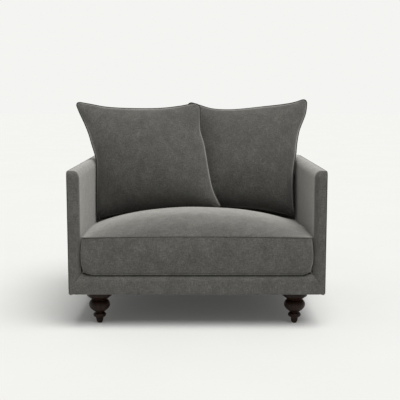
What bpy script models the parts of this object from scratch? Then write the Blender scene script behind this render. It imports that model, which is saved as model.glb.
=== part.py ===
"""A wide upholstered armchair, built up as it is on the bench: a timber frame with zigzag springs,
padding and cloth over it, a loose seat cushion, two loose back cushions and four turned feet.

Metres, +Z up. The origin is on the floor under the middle of the chair, +X to the sitter's left as seen
from the front, and the chair faces -Y.
"""

import math

import bmesh
import bpy
from mathutils import Vector

# Driving dimensions of the whole chair.
OVERALL_WIDTH = 1.100
OVERALL_DEPTH = 0.950
ARM_HEIGHT = 0.681
FLOOR_CLEARANCE = 0.150  # the floor to the underside of the body, which the feet fill
BACK_RAKE = math.radians(13.0)
SEAT_DEPTH = 0.672  # front of the arms to the inside back, at the height of the deck
DECK_HEIGHT = 0.2365  # top of the sprung platform under the seat cushion

# What the frame and its layers are made of.
TIMBER = 0.028
BOARD = 0.003
BOARD_MARGIN = 0.006  # a board stops this far inside the frame's edges
PADDING = 0.008
CLOTH = 0.0015
BODY_ROUNDING = 0.012
EASED_EDGE = 0.003  # chamfer along every timber edge
DUST_COVER_INSET = 0.014
LAYER_GAP = 0.0004  # between cloth, padding and what they lie on
JOINT_GAP = 0.0003  # between two timbers that meet
SLIDING_GAP = 0.0015  # each side of a loose cushion between the arms

POST_WIDTH = 0.045
ARM_TOP_RAIL_HEIGHT = 0.040
BACK_TOP_RAIL_HEIGHT = 0.060
UPRIGHT_DEPTH = 0.045
BRACE_WIDTH = 0.060
BRACE_HEIGHT = 0.038
LEG_BLOCK_LENGTH = 0.140
LEG_BLOCK_HEIGHT = 0.044

# Suspension.
SPRING_COUNT = 7
SPRING_WIRE = 0.0036
SPRING_WIDTH = 0.050
SPRING_HALF_PITCH = 0.050
SPRING_PAD = 0.004
CLIP_THICKNESS = 0.002
CLIP_WIDTH = 0.016

# Feet and what holds them.
LEG_INSET_X = 0.120
LEG_INSET_Y = 0.100
LEG_TOP_RADIUS = 0.054
LEG_BULB_RADIUS = 0.0464
LEG_TOE_RADIUS = 0.0113
GLIDE_RADIUS = 0.010
GLIDE_THICKNESS = 0.003
BOLT_RADIUS = 0.004
BOLT_DEPTH_IN_LEG = 0.042
BOLT_HOLE_CLEARANCE = 0.0005

# Loose cushions.
SEAT_BORDER_HEIGHT = 0.1635  # from the deck to the seam round the top of the seat cushion
SEAT_CROWN = 0.066  # how far the middle of the seat cushion stands above that seam
SEAT_CORNER = 0.030
SEAT_EDGE = 0.012
BACK_CUSHION_THICKNESS = 0.230
BACK_CUSHION_EDGE = 0.016
BACK_CUSHION_TOP = 0.700  # measured up the slope of the inside back, from the deck
BACK_CUSHION_BOTTOM = 0.196
CORNER_DROOP = 0.016  # how much lower its outer bottom corner is
BACK_CUSHION_GAP = 0.003

# Places that follow from them.
ARM_THICKNESS = 2 * (CLOTH + PADDING) + 5 * LAYER_GAP + TIMBER + BOARD
OUTER_X = OVERALL_WIDTH / 2
INNER_X = OUTER_X - ARM_THICKNESS
FRONT_Y = -OVERALL_DEPTH / 2
REAR_Y = OVERALL_DEPTH / 2
CLOTH_LAYER = CLOTH + LAYER_GAP
FRAME_LAYER = CLOTH_LAYER + PADDING + LAYER_GAP
TIMBER_OUTER_X = OUTER_X - FRAME_LAYER
TIMBER_INNER_X = TIMBER_OUTER_X - TIMBER
TIMBER_FRONT_Y = FRONT_Y + FRAME_LAYER
TIMBER_REAR_Y = REAR_Y - FRAME_LAYER
TIMBER_TOP_Z = ARM_HEIGHT - FRAME_LAYER
TIMBER_BOTTOM_Z = FLOOR_CLEARANCE + CLOTH + 2 * JOINT_GAP
SPRING_STACK = CLIP_THICKNESS + SPRING_WIRE + SPRING_PAD + CLOTH + 4 * LAYER_GAP
RAIL_TOP_Z = DECK_HEIGHT - SPRING_STACK
ARM_INSIDE_BOTTOM_Z = DECK_HEIGHT + LAYER_GAP
LEG_X = OUTER_X - LEG_INSET_X
LEG_Y = REAR_Y - LEG_INSET_Y
LEG_TOP_Z = FLOOR_CLEARANCE - JOINT_GAP
RAIL_END_X = TIMBER_INNER_X - JOINT_GAP
BETWEEN_ARMS_X = INNER_X - LAYER_GAP


def material(name, colour, roughness, metallic=0.0):
    made = bpy.data.materials.new(name)
    made.use_nodes = True
    shader = made.node_tree.nodes["Principled BSDF"]
    shader.inputs["Base Color"].default_value = (*colour, 1.0)
    shader.inputs["Roughness"].default_value = roughness
    shader.inputs["Metallic"].default_value = metallic
    made.diffuse_color = (*colour, 1.0)
    return made


def add_object(name, mesh_builder, finish):
    """Turn a bmesh into a named object with its normals facing out."""
    bmesh.ops.recalc_face_normals(mesh_builder, faces=mesh_builder.faces)
    mesh = bpy.data.meshes.new(name)
    mesh_builder.to_mesh(mesh)
    mesh_builder.free()
    mesh.materials.append(finish)
    made = bpy.data.objects.new(name, mesh)
    bpy.context.scene.collection.objects.link(made)
    return made


def rounded(made, angle=40.0):
    """Shade a turned or padded piece smooth, with its true edges left sharp."""
    made.data.shade_smooth()
    made.data.set_sharp_from_angle(angle=math.radians(angle))
    return made


def box(name, low, high, finish):
    """A plain rectangular piece between two opposite corners, given in either order."""
    low, high = Vector(low), Vector(high)
    builder = bmesh.new()
    bmesh.ops.create_cube(builder, size=1.0)
    size, middle = high - low, (low + high) / 2
    for vertex in builder.verts:
        vertex.co = Vector(a * abs(b) for a, b in zip(vertex.co, size)) + middle
    made = add_object(name, builder, finish)
    return eased(made) if finish is BEECH else made


def bar(name, section, x_from, x_to, finish):
    """A piece whose outline, seen from the side as (y, z) points, is the same all along X."""
    builder = bmesh.new()
    face = builder.faces.new([builder.verts.new((x_from, y, z)) for y, z in section])
    grown = bmesh.ops.extrude_face_region(builder, geom=[face])["geom"]
    moved = [item for item in grown if isinstance(item, bmesh.types.BMVert)]
    bmesh.ops.translate(builder, verts=moved, vec=(x_to - x_from, 0, 0))
    made = add_object(name, builder, finish)
    return eased(made) if finish is BEECH else made


def eased(made):
    """Take the sharp edges off a timber."""
    chamfer = made.modifiers.new("eased_edges", "BEVEL")
    chamfer.width = EASED_EDGE
    chamfer.segments = 1
    return made


def wrap(name, line, x_from, x_to, thickness, finish):
    """A layer bent along a line of (y, z) points: the line is its outer side, seen from +X going
    up the front and back over the top."""
    builder = bmesh.new()
    near = [builder.verts.new((x_from, y, z)) for y, z in line]
    far = [builder.verts.new((x_to, y, z)) for y, z in line]
    for i in range(len(line) - 1):
        builder.faces.new((near[i], far[i], far[i + 1], near[i + 1]))
    return layered(add_open(name, builder, finish), thickness)


def add_open(name, builder, finish):
    """An open sheet, whose faces already look outwards."""
    mesh = bpy.data.meshes.new(name)
    builder.to_mesh(mesh)
    builder.free()
    mesh.materials.append(finish)
    made = bpy.data.objects.new(name, mesh)
    bpy.context.scene.collection.objects.link(made)
    return made


def layered(made, thickness):
    """Give an open sheet its thickness, on the inner side."""
    solid = made.modifiers.new("thickness", "SOLIDIFY")
    solid.thickness = thickness
    solid.offset = -1.0
    solid.use_even_offset = True
    return rounded(made)


def arc(centre, radius, start, end, steps):
    """Points (a, b) round a centre, from one angle to another, in degrees."""
    turn = [math.radians(start + (end - start) * i / steps) for i in range(steps + 1)]
    return [(centre[0] + radius * math.cos(t), centre[1] + radius * math.sin(t)) for t in turn]


def turned(name, profile, place, finish, sides=12):
    """A lathe piece: (radius, height) points, the first and the last on the axis."""
    builder = bmesh.new()
    rings = []
    for radius, height in profile:
        count = sides if radius > 0 else 1
        ring = []
        for i in range(count):
            t = 2 * math.pi * i / sides
            x, y = place[0] + radius * math.cos(t), place[1] + radius * math.sin(t)
            ring.append(builder.verts.new((x, y, height)))
        rings.append(ring)
    join_rings(builder, rings)
    return rounded(add_object(name, builder, finish), 50.0)


def join_rings(builder, rings):
    """Faces between each ring of points and the next; a ring of one point closes an end."""
    for first, second in zip(rings, rings[1:]):
        sides = max(len(first), len(second))
        for i in range(sides):
            j = (i + 1) % sides
            if len(first) == 1:
                builder.faces.new((first[0], second[i], second[j]))
            elif len(second) == 1:
                builder.faces.new((first[i], first[j], second[0]))
            else:
                builder.faces.new((first[i], first[j], second[j], second[i]))


def inside_back_y(z):
    """The front of the inside back cover at a height."""
    return FRONT_Y + SEAT_DEPTH + math.tan(BACK_RAKE) * (z - DECK_HEIGHT)


def behind(thickness):
    """A thickness across the raked back, measured level from front to back."""
    return thickness / math.cos(BACK_RAKE)


for old in list(bpy.data.objects):
    bpy.data.objects.remove(old, do_unlink=True)

BEECH = material("frame_timber", (0.62, 0.45, 0.28), 0.7)
HARDBOARD = material("hardboard", (0.33, 0.22, 0.13), 0.8)
SPRING_STEEL = material("spring_steel", (0.35, 0.36, 0.38), 0.35, 1.0)
FELT = material("felt_pad", (0.55, 0.55, 0.56), 0.95)
FOAM = material("foam", (0.88, 0.84, 0.66), 0.9)
CHENILLE = material("grey_chenille", (0.12, 0.12, 0.13), 0.85)
PLATFORM_CLOTH = material("platform_cloth", (0.05, 0.05, 0.055), 0.9)
DARK_WOOD = material("dark_stained_wood", (0.03, 0.02, 0.016), 0.35)
ZINC = material("zinc_plated_steel", (0.6, 0.6, 0.62), 0.3, 1.0)
NYLON = material("black_nylon", (0.02, 0.02, 0.02), 0.5)

SIDES = (("left", -1), ("right", 1))


# Timber frame -----------------------------------------------------------------------------------

def across(name, y_from, y_to, z_from, z_to):
    """A rail from one arm frame to the other."""
    return box(name, (-RAIL_END_X, y_from, z_from), (RAIL_END_X, y_to, z_to), BEECH)


REAR_SPRING_RAIL_Y = inside_back_y(DECK_HEIGHT) + behind(CLOTH_LAYER + PADDING + BOARD)
FRONT_RAIL_BACK_Y = TIMBER_FRONT_Y + TIMBER
REAR_SPRING_RAIL_BACK_Y = REAR_SPRING_RAIL_Y + TIMBER
BACK_RAIL_FRONT_Y = REAR_Y - BODY_ROUNDING - PADDING / 2 - LAYER_GAP - TIMBER
across("front_rail", TIMBER_FRONT_Y, FRONT_RAIL_BACK_Y, TIMBER_BOTTOM_Z, RAIL_TOP_Z)
across("rear_spring_rail", REAR_SPRING_RAIL_Y, REAR_SPRING_RAIL_BACK_Y, TIMBER_BOTTOM_Z, RAIL_TOP_Z)
across("bottom_back_rail", BACK_RAIL_FRONT_Y, BACK_RAIL_FRONT_Y + TIMBER, TIMBER_BOTTOM_Z, RAIL_TOP_Z)
box(
    "seat_brace",
    (-BRACE_WIDTH / 2, FRONT_RAIL_BACK_Y + JOINT_GAP, TIMBER_BOTTOM_Z),
    (BRACE_WIDTH / 2, REAR_SPRING_RAIL_Y - JOINT_GAP, TIMBER_BOTTOM_Z + BRACE_HEIGHT),
    BEECH,
)

POST_TOP_Z = TIMBER_TOP_Z - ARM_TOP_RAIL_HEIGHT - JOINT_GAP
for word, side in SIDES:
    outer, inner = side * TIMBER_OUTER_X, side * TIMBER_INNER_X
    front_post_back = TIMBER_FRONT_Y + POST_WIDTH
    rear_post_front = TIMBER_REAR_Y - POST_WIDTH
    box(
        f"arm_front_post_{word}",
        (outer, TIMBER_FRONT_Y, TIMBER_BOTTOM_Z),
        (inner, front_post_back, POST_TOP_Z),
        BEECH,
    )
    box(
        f"arm_rear_post_{word}",
        (outer, rear_post_front, TIMBER_BOTTOM_Z),
        (inner, TIMBER_REAR_Y, POST_TOP_Z),
        BEECH,
    )
    box(
        f"side_rail_{word}",
        (outer, front_post_back + JOINT_GAP, TIMBER_BOTTOM_Z),
        (inner, rear_post_front - JOINT_GAP, RAIL_TOP_Z),
        BEECH,
    )
    box(
        f"arm_top_rail_{word}",
        (outer, TIMBER_FRONT_Y, TIMBER_TOP_Z - ARM_TOP_RAIL_HEIGHT),
        (inner, TIMBER_REAR_Y, TIMBER_TOP_Z),
        BEECH,
    )

# The back: two raked uprights with a rail across their tops, inside the arms.
UPRIGHT_FRONT = behind(FRAME_LAYER + BOARD + LAYER_GAP)
UPRIGHT_OUTER_X = BETWEEN_ARMS_X - JOINT_GAP
UPRIGHT_INNER_X = UPRIGHT_OUTER_X - TIMBER


def raked_section(front, thickness, z_low, z_high):
    """The side outline of a piece that follows the rake, this far behind the inside back."""
    low, high = inside_back_y(z_low) + front, inside_back_y(z_high) + front
    return [(low, z_low), (high, z_high), (high + thickness, z_high), (low + thickness, z_low)]


for word, side in SIDES:
    bar(
        f"back_upright_{word}",
        raked_section(UPRIGHT_FRONT, UPRIGHT_DEPTH, RAIL_TOP_Z + JOINT_GAP, TIMBER_TOP_Z),
        side * UPRIGHT_INNER_X,
        side * UPRIGHT_OUTER_X,
        BEECH,
    )
bar(
    "back_top_rail",
    raked_section(UPRIGHT_FRONT, TIMBER, TIMBER_TOP_Z - BACK_TOP_RAIL_HEIGHT, TIMBER_TOP_Z),
    -UPRIGHT_INNER_X + JOINT_GAP,
    UPRIGHT_INNER_X - JOINT_GAP,
    BEECH,
)

# Feet: block, bolt, turned leg and glide at each corner ----------------------------------------------

LEG_CAP_EDGE_Z = LEG_TOP_Z - 0.012
LEG_NECK = (0.033, LEG_TOP_Z - 0.043)
LEG_BULB_Z = LEG_TOP_Z - 0.0673
LEG_BULB_HALF_HEIGHT = 0.021
LEG_RING_Z = LEG_TOP_Z - 0.1122
LEG_RING_RADIUS = 0.0279
LEG_RING_HALF_HEIGHT = 0.0070
LEG_WAIST_RADIUS = 0.0184
LEG_ANKLE_RADIUS = 0.0155


def leg_profile():
    """Outline of the turned foot from the bolt hole over the cap and down to the toe."""
    hole = BOLT_RADIUS + BOLT_HOLE_CLEARANCE
    hole_bottom = LEG_TOP_Z - BOLT_DEPTH_IN_LEG - BOLT_HOLE_CLEARANCE
    cove_radius = LEG_TOP_RADIUS - LEG_NECK[0]
    cove_height = LEG_CAP_EDGE_Z - LEG_NECK[1]
    cove = [
        (LEG_TOP_RADIUS - cove_radius * math.sin(t), LEG_NECK[1] + cove_height * math.cos(t))
        for t in (0.0, 0.45, 0.9, math.pi / 2)
    ]
    bulge = LEG_BULB_RADIUS - LEG_NECK[0]
    bulb = [
        (LEG_NECK[0] + bulge * math.sin(t), LEG_BULB_Z + LEG_BULB_HALF_HEIGHT * math.cos(t))
        for t in (0.6, 1.1, math.pi / 2, 2.1)
    ]
    lip = LEG_RING_RADIUS - LEG_WAIST_RADIUS
    ring = [
        (LEG_WAIST_RADIUS + lip * math.sin(t), LEG_RING_Z + LEG_RING_HALF_HEIGHT * math.cos(t))
        for t in (0.5, math.pi / 2, 2.6)
    ]
    waist = [(LEG_WAIST_RADIUS, LEG_RING_Z + 0.016)]
    toe = [(LEG_ANKLE_RADIUS, LEG_RING_Z - 0.013), (LEG_TOE_RADIUS, GLIDE_THICKNESS + JOINT_GAP)]
    opening = [(0.0, hole_bottom), (hole, hole_bottom), (hole, LEG_TOP_Z), (LEG_TOP_RADIUS, LEG_TOP_Z)]
    return opening + cove + bulb + waist + ring + toe + [(0.0, GLIDE_THICKNESS + JOINT_GAP)]


BLOCK_TOP_Z = TIMBER_BOTTOM_Z + LEG_BLOCK_HEIGHT


def bolt_profile():
    """A hanger bolt: plain shank up through the block, with its washer and nut on top."""
    washer_radius, washer = 2.6 * BOLT_RADIUS, 0.0016
    nut_radius, nut = 1.75 * BOLT_RADIUS, 0.0065
    washer_bottom = BLOCK_TOP_Z + JOINT_GAP
    nut_top = washer_bottom + washer + nut
    return [
        (0.0, LEG_TOP_Z - BOLT_DEPTH_IN_LEG),
        (BOLT_RADIUS, LEG_TOP_Z - BOLT_DEPTH_IN_LEG),
        (BOLT_RADIUS, washer_bottom),
        (washer_radius, washer_bottom),
        (washer_radius, washer_bottom + washer),
        (nut_radius, washer_bottom + washer),
        (nut_radius, nut_top),
        (0.0, nut_top),
    ]


def glide_profile():
    """A flat nylon disc with its lower edge eased."""
    ease = GLIDE_THICKNESS / 3
    return [
        (0.0, 0.0),
        (GLIDE_RADIUS - ease, 0.0),
        (GLIDE_RADIUS, ease),
        (GLIDE_RADIUS, GLIDE_THICKNESS),
        (0.0, GLIDE_THICKNESS),
    ]


def bolt_cutter(name, place):
    """The clearance hole round one foot's bolt, through the block and the dust cover."""
    radius = BOLT_RADIUS + BOLT_HOLE_CLEARANCE
    low, high = FLOOR_CLEARANCE - 0.01, BLOCK_TOP_Z + 0.01
    cutter = turned(name, [(0.0, low), (radius, low), (radius, high), (0.0, high)], place, ZINC, 8)
    cutter.hide_render = True
    cutter.display_type = "WIRE"
    return cutter


def cut(made, cutter):
    hole = made.modifiers.new(cutter.name, "BOOLEAN")
    hole.operation = "DIFFERENCE"
    hole.object = cutter


dust_cover = box(
    "dust_cover",
    (-OUTER_X + DUST_COVER_INSET, FRONT_Y + DUST_COVER_INSET, FLOOR_CLEARANCE),
    (OUTER_X - DUST_COVER_INSET, REAR_Y - DUST_COVER_INSET, FLOOR_CLEARANCE + CLOTH),
    PLATFORM_CLOTH,
)
REAR_BLOCK_BACK_Y = BACK_RAIL_FRONT_Y - JOINT_GAP
REAR_BLOCK_FRONT_Y = max(REAR_BLOCK_BACK_Y - LEG_BLOCK_LENGTH, REAR_SPRING_RAIL_BACK_Y + JOINT_GAP)
FRONT_BLOCK_FRONT_Y = FRONT_RAIL_BACK_Y + JOINT_GAP
BLOCK_SPANS = {
    "front": (FRONT_BLOCK_FRONT_Y, FRONT_BLOCK_FRONT_Y + LEG_BLOCK_LENGTH),
    "rear": (REAR_BLOCK_FRONT_Y, REAR_BLOCK_BACK_Y),
}
for end, facing in (("front", -1), ("rear", 1)):
    for word, side in SIDES:
        place = (side * LEG_X, facing * LEG_Y)
        turned(f"leg_{end}_{word}", leg_profile(), place, DARK_WOOD)
        turned(f"leg_bolt_{end}_{word}", bolt_profile(), place, ZINC, 8)
        turned(f"leg_glide_{end}_{word}", glide_profile(), place, NYLON)
        block = box(
            f"leg_block_{end}_{word}",
            (side * RAIL_END_X, BLOCK_SPANS[end][0], TIMBER_BOTTOM_Z),
            (side * (RAIL_END_X - LEG_BLOCK_LENGTH), BLOCK_SPANS[end][1], BLOCK_TOP_Z),
            BEECH,
        )
        cutter = bolt_cutter(f"bolt_cutter_{end}_{word}", place)
        cut(block, cutter)
        cut(dust_cover, cutter)

# Springs, their clips and the pad over them -----------------------------------------------------------

CLIP_Z = RAIL_TOP_Z + LAYER_GAP
WIRE_Z = CLIP_Z + CLIP_THICKNESS + LAYER_GAP + SPRING_WIRE / 2
CLIP_END_X = UPRIGHT_INNER_X - LAYER_GAP
FRONT_CLIP_Y = FRONT_RAIL_BACK_Y - CLIP_WIDTH
REAR_CLIP_Y = REAR_SPRING_RAIL_Y + (TIMBER - CLIP_WIDTH) / 2
for end, y in (("front", FRONT_CLIP_Y), ("rear", REAR_CLIP_Y)):
    box(
        f"spring_clip_strip_{end}",
        (-CLIP_END_X, y, CLIP_Z),
        (CLIP_END_X, y + CLIP_WIDTH, CLIP_Z + CLIP_THICKNESS),
        SPRING_STEEL,
    )


def zigzag(name, x):
    """One spring: a wire that crosses from side to side all the way from clip to clip."""
    y_from, y_to = FRONT_CLIP_Y + CLIP_WIDTH / 2, REAR_CLIP_Y + CLIP_WIDTH / 2
    crossings = 2 * round((y_to - y_from) / SPRING_HALF_PITCH / 2) + 1
    step = (y_to - y_from) / (crossings - 1)
    points = []
    for i in range(crossings):
        reach = SPRING_WIDTH / 2 if i % 2 else -SPRING_WIDTH / 2
        points += [(x - reach, y_from + i * step), (x + reach, y_from + i * step)]
    wire = bpy.data.curves.new(name, "CURVE")
    wire.dimensions = "3D"
    wire.bevel_depth = SPRING_WIRE / 2
    wire.bevel_resolution = 1
    wire.use_fill_caps = True
    line = wire.splines.new("POLY")
    line.points.add(len(points) - 1)
    for point, (px, py) in zip(line.points, points):
        point.co = (px, py, WIRE_Z, 1.0)
    wire.materials.append(SPRING_STEEL)
    made = bpy.data.objects.new(name, wire)
    bpy.context.scene.collection.objects.link(made)


SPRING_SPACING = 2 * (CLIP_END_X - SPRING_WIDTH) / (SPRING_COUNT - 1)
for i in range(SPRING_COUNT):
    zigzag(f"seat_spring_{i + 1}", (i - (SPRING_COUNT - 1) / 2) * SPRING_SPACING)

PAD_Z = WIRE_Z + SPRING_WIRE / 2 + LAYER_GAP
PAD_REAR_Y = inside_back_y(DECK_HEIGHT) + behind(CLOTH_LAYER)
box(
    "spring_cover_pad",
    (-RAIL_END_X, FRONT_CLIP_Y, PAD_Z),
    (RAIL_END_X, PAD_REAR_Y, PAD_Z + SPRING_PAD),
    FELT,
)

# Padding and covers of the arms ---------------------------------------------------------------------------


def arm_layer(name, side, layer, thickness, finish):
    """A sleeve round one arm, this far in from its outside. It is open underneath, and where the seat
    goes into the arm its inner side stops at the deck."""
    builder = bmesh.new()
    bmesh.ops.create_cube(builder, size=1.0)
    low = Vector((INNER_X + layer, FRONT_Y + layer, FLOOR_CLEARANCE - 2 * BODY_ROUNDING))
    high = Vector((OUTER_X - layer, REAR_Y - layer, ARM_HEIGHT - layer))
    for vertex in builder.verts:
        vertex.co = Vector(a * b for a, b in zip(vertex.co, high - low)) + (low + high) / 2
    bmesh.ops.bevel(
        builder,
        geom=builder.edges[:],
        offset=BODY_ROUNDING - layer,
        segments=2,
        profile=0.5,
        affect="EDGES",
    )
    bottom = FLOOR_CLEARANCE if layer == 0 else TIMBER_BOTTOM_Z
    for height, clear in ((bottom, True), (ARM_INSIDE_BOTTOM_Z, False)):
        bmesh.ops.bisect_plane(
            builder,
            geom=builder.verts[:] + builder.edges[:] + builder.faces[:],
            plane_co=(0, 0, height),
            plane_no=(0, 0, -1),
            clear_outer=clear,
        )
    seam_x = INNER_X + BODY_ROUNDING
    below = []
    for face in builder.faces:
        x, y, z = face.calc_center_median()
        if x < seam_x and y < REAR_Y - BODY_ROUNDING and z < ARM_INSIDE_BOTTOM_Z:
            below.append(face)
    bmesh.ops.delete(builder, geom=below, context="FACES")
    if side < 0:
        bmesh.ops.scale(builder, vec=(-1, 1, 1), verts=builder.verts)
        bmesh.ops.reverse_faces(builder, faces=builder.faces)
    return layered(add_open(name, builder, finish), thickness)


for word, side in SIDES:
    arm_layer(f"arm_cover_{word}", side, 0.0, CLOTH, CHENILLE)
    arm_layer(f"arm_padding_{word}", side, CLOTH_LAYER, PADDING, FOAM)
    board_x = side * (TIMBER_INNER_X - LAYER_GAP)
    box(
        f"arm_panel_{word}",
        (board_x, TIMBER_FRONT_Y + BOARD_MARGIN, ARM_INSIDE_BOTTOM_Z),
        (board_x - side * BOARD, TIMBER_REAR_Y - BOARD_MARGIN, TIMBER_TOP_Z - BOARD_MARGIN),
        HARDBOARD,
    )

# Front rail padding, and the platform cover that goes over it and back over the springs ---------------------

FRONT_X = INNER_X + BODY_ROUNDING - LAYER_GAP


def over_front_rail(layer, low, high, reach):
    """The line up the front of the rail and over its top edge to a depth."""
    radius = BODY_ROUNDING - layer
    front, top = FRONT_Y + layer, high
    corner = arc((front + radius, top - radius), radius, 180, 90, 3)
    return [(front, low)] + corner + [(reach, top)]


wrap(
    "front_rail_padding",
    over_front_rail(CLOTH_LAYER, TIMBER_BOTTOM_Z, RAIL_TOP_Z + LAYER_GAP + PADDING, FRONT_CLIP_Y - LAYER_GAP),
    -FRONT_X,
    FRONT_X,
    PADDING,
    FOAM,
)
wrap(
    "seat_platform_cover",
    over_front_rail(0.0, FLOOR_CLEARANCE, DECK_HEIGHT, PAD_REAR_Y),
    -FRONT_X,
    FRONT_X,
    CLOTH,
    PLATFORM_CLOTH,
)

# The back: board, padding and covers ------------------------------------------------------------------------

INSIDE_BACK_BOTTOM_Z = DECK_HEIGHT + JOINT_GAP + PADDING * math.sin(BACK_RAKE)
bar(
    "back_panel",
    raked_section(behind(FRAME_LAYER), behind(BOARD), INSIDE_BACK_BOTTOM_Z, TIMBER_TOP_Z - BOARD_MARGIN),
    -BETWEEN_ARMS_X,
    BETWEEN_ARMS_X,
    HARDBOARD,
)


def over_back(layer, rear):
    """The line up the raked inside back and level over its top."""
    low, top = INSIDE_BACK_BOTTOM_Z, ARM_HEIGHT - layer
    radius = BODY_ROUNDING - layer
    setback = behind(layer)
    tangent = radius * math.tan((math.pi / 2 - BACK_RAKE) / 2)
    corner_y = inside_back_y(top) + setback
    centre = (corner_y + tangent, top - radius)
    corner = arc(centre, radius, 180 - math.degrees(BACK_RAKE), 90, 3)
    return [(inside_back_y(low) + setback, low)] + corner + [(rear, top)]


OUTSIDE_BACK_Y = REAR_Y - CLOTH - LAYER_GAP
wrap("back_padding", over_back(CLOTH_LAYER, TIMBER_REAR_Y), -BETWEEN_ARMS_X, BETWEEN_ARMS_X, PADDING, FOAM)
wrap("inside_back_cover", over_back(0.0, OUTSIDE_BACK_Y), -BETWEEN_ARMS_X, BETWEEN_ARMS_X, CLOTH, CHENILLE)
box(
    "outside_back_cover",
    (-BETWEEN_ARMS_X, REAR_Y - CLOTH, FLOOR_CLEARANCE),
    (BETWEEN_ARMS_X, REAR_Y, ARM_HEIGHT),
    CHENILLE,
)

# Loose cushions ---------------------------------------------------------------------------------------------


def filled_cushion(name, rings, opening):
    """A cover with its zip opening left in it, and the filling that fits inside it."""
    builder = bmesh.new()
    join_rings(builder, [[builder.verts.new(point) for point in ring] for ring in rings])
    bmesh.ops.recalc_face_normals(builder, faces=builder.faces)
    builder.normal_update()
    filling = builder.copy()
    filling.normal_update()
    inset = [vertex.co - vertex.normal * CLOTH_LAYER * vertex.calc_shell_factor() for vertex in filling.verts]
    for vertex, place in zip(filling.verts, inset):
        vertex.co = place
    left_out = [face for face in builder.faces if opening(face.calc_center_median())]
    bmesh.ops.delete(builder, geom=left_out, context="FACES")
    layered(add_open(f"{name[0]}_cover{name[1]}", builder, CHENILLE), CLOTH)
    rounded(add_object(f"{name[0]}_{name[2]}{name[1]}", filling, FOAM))


def rounded_rectangle(x, y_low, y_high, radius, between):
    """Points round a rectangle that is symmetric in X, with round corners and points along its sides."""
    corners = (
        ((x - radius, y_high - radius), 0),
        ((-x + radius, y_high - radius), 90),
        ((-x + radius, y_low + radius), 180),
        ((x - radius, y_low + radius), 270),
    )
    rounds = [arc(centre, radius, turn, turn + 90, 2) for centre, turn in corners]
    points = []
    for this, following in zip(rounds, rounds[1:] + rounds[:1]):
        points += this
        (x_from, y_from), (x_to, y_to) = this[-1], following[0]
        for k in range(1, between + 1):
            share = k / (between + 1)
            points.append((x_from + (x_to - x_from) * share, y_from + (y_to - y_from) * share))
    return points


SEAT_HALF_WIDTH = INNER_X - SLIDING_GAP
SEAT_BOTTOM_Z = DECK_HEIGHT + LAYER_GAP
SEAT_SEAM_HEIGHT = DECK_HEIGHT + SEAT_BORDER_HEIGHT
SEAT_FRONT_Y = FRONT_Y
SEAT_REAR_Y = FRONT_Y + SEAT_DEPTH - 0.010
SEAT_MIDDLE_Y = (SEAT_FRONT_Y + SEAT_REAR_Y) / 2


def seat_rings():
    """The seat cushion from the middle of its underside, round its border, to the top of its crown."""
    edge = rounded_rectangle(SEAT_HALF_WIDTH, SEAT_FRONT_Y, SEAT_REAR_Y, SEAT_CORNER, 3)
    under = rounded_rectangle(
        SEAT_HALF_WIDTH - SEAT_EDGE,
        SEAT_FRONT_Y + SEAT_EDGE,
        SEAT_REAR_Y - SEAT_EDGE,
        SEAT_CORNER - SEAT_EDGE / 2,
        3,
    )
    rings = [[(0.0, SEAT_MIDDLE_Y, SEAT_BOTTOM_Z)]]
    rings.append([(x, y, SEAT_BOTTOM_Z) for x, y in under])
    for height in (SEAT_BOTTOM_Z + SEAT_EDGE, SEAT_BOTTOM_Z + 3 * SEAT_EDGE, SEAT_SEAM_HEIGHT):
        rings.append([(x, y, height) for x, y in edge])
    for share in (0.93, 0.75, 0.42):
        rise = SEAT_SEAM_HEIGHT + SEAT_CROWN * (1 - share**2) ** 0.5
        rings.append([(x * share, SEAT_MIDDLE_Y + (y - SEAT_MIDDLE_Y) * share, rise) for x, y in edge])
    rings.append([(0.0, SEAT_MIDDLE_Y, SEAT_SEAM_HEIGHT + SEAT_CROWN)])
    return rings


filled_cushion(
    ("seat_cushion", "", "foam"),
    seat_rings(),
    lambda place: place.y > SEAT_REAR_Y - SEAT_EDGE
    and SEAT_BOTTOM_Z + SEAT_EDGE < place.z < SEAT_BOTTOM_Z + 3 * SEAT_EDGE
    and abs(place.x) < SEAT_HALF_WIDTH - SEAT_CORNER,
)

# The back cushions lean on the inside back. Up is measured along its slope from the deck, and out is
# measured square off it. The left one overlaps the right one in the middle.
UP = Vector((0, math.sin(BACK_RAKE), math.cos(BACK_RAKE)))
OUT = Vector((0, -math.cos(BACK_RAKE), math.sin(BACK_RAKE)))
LEAN_ORIGIN = Vector((0, inside_back_y(DECK_HEIGHT), DECK_HEIGHT))
CUSHION_SIDE_X = INNER_X - 2 * SLIDING_GAP
CUSHION_EAR = 0.085  # how far an upper corner hangs over the arm
EAR_CLEARANCE = 0.041  # how far above the arm the side starts to lean out
EAR_START = (ARM_HEIGHT + EAR_CLEARANCE - DECK_HEIGHT) / math.cos(BACK_RAKE)
CUSHION_RISE = BACK_CUSHION_TOP - BACK_CUSHION_BOTTOM
ABOVE_ARM = 2 * (EAR_START - BACK_CUSHION_BOTTOM) / CUSHION_RISE - 1  # on the scale of w, -1 to 1
OVERLAP_AT_MIDDLE = 0.125  # how far out from the back the two cushions meet, on the centre line
OVERLAP_SLOPE = 0.82


def leaning(x, up, out):
    return LEAN_ORIGIN + Vector((x, 0, 0)) + UP * up + OUT * out


def smooth(share):
    share = min(max(share, 0.0), 1.0)
    return share * share * (3 - 2 * share)


def meeting_surface(x):
    """How far out from the back the left cushion's rear meets the right cushion's front."""
    return OVERLAP_AT_MIDDLE + OVERLAP_SLOPE * x


def side_edge(w):
    """The outer side: straight against the arm, then out over it to the corner."""
    over = max(0.0, (w - ABOVE_ARM) / (1 - ABOVE_ARM))
    return CUSHION_SIDE_X + CUSHION_EAR * over


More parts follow.
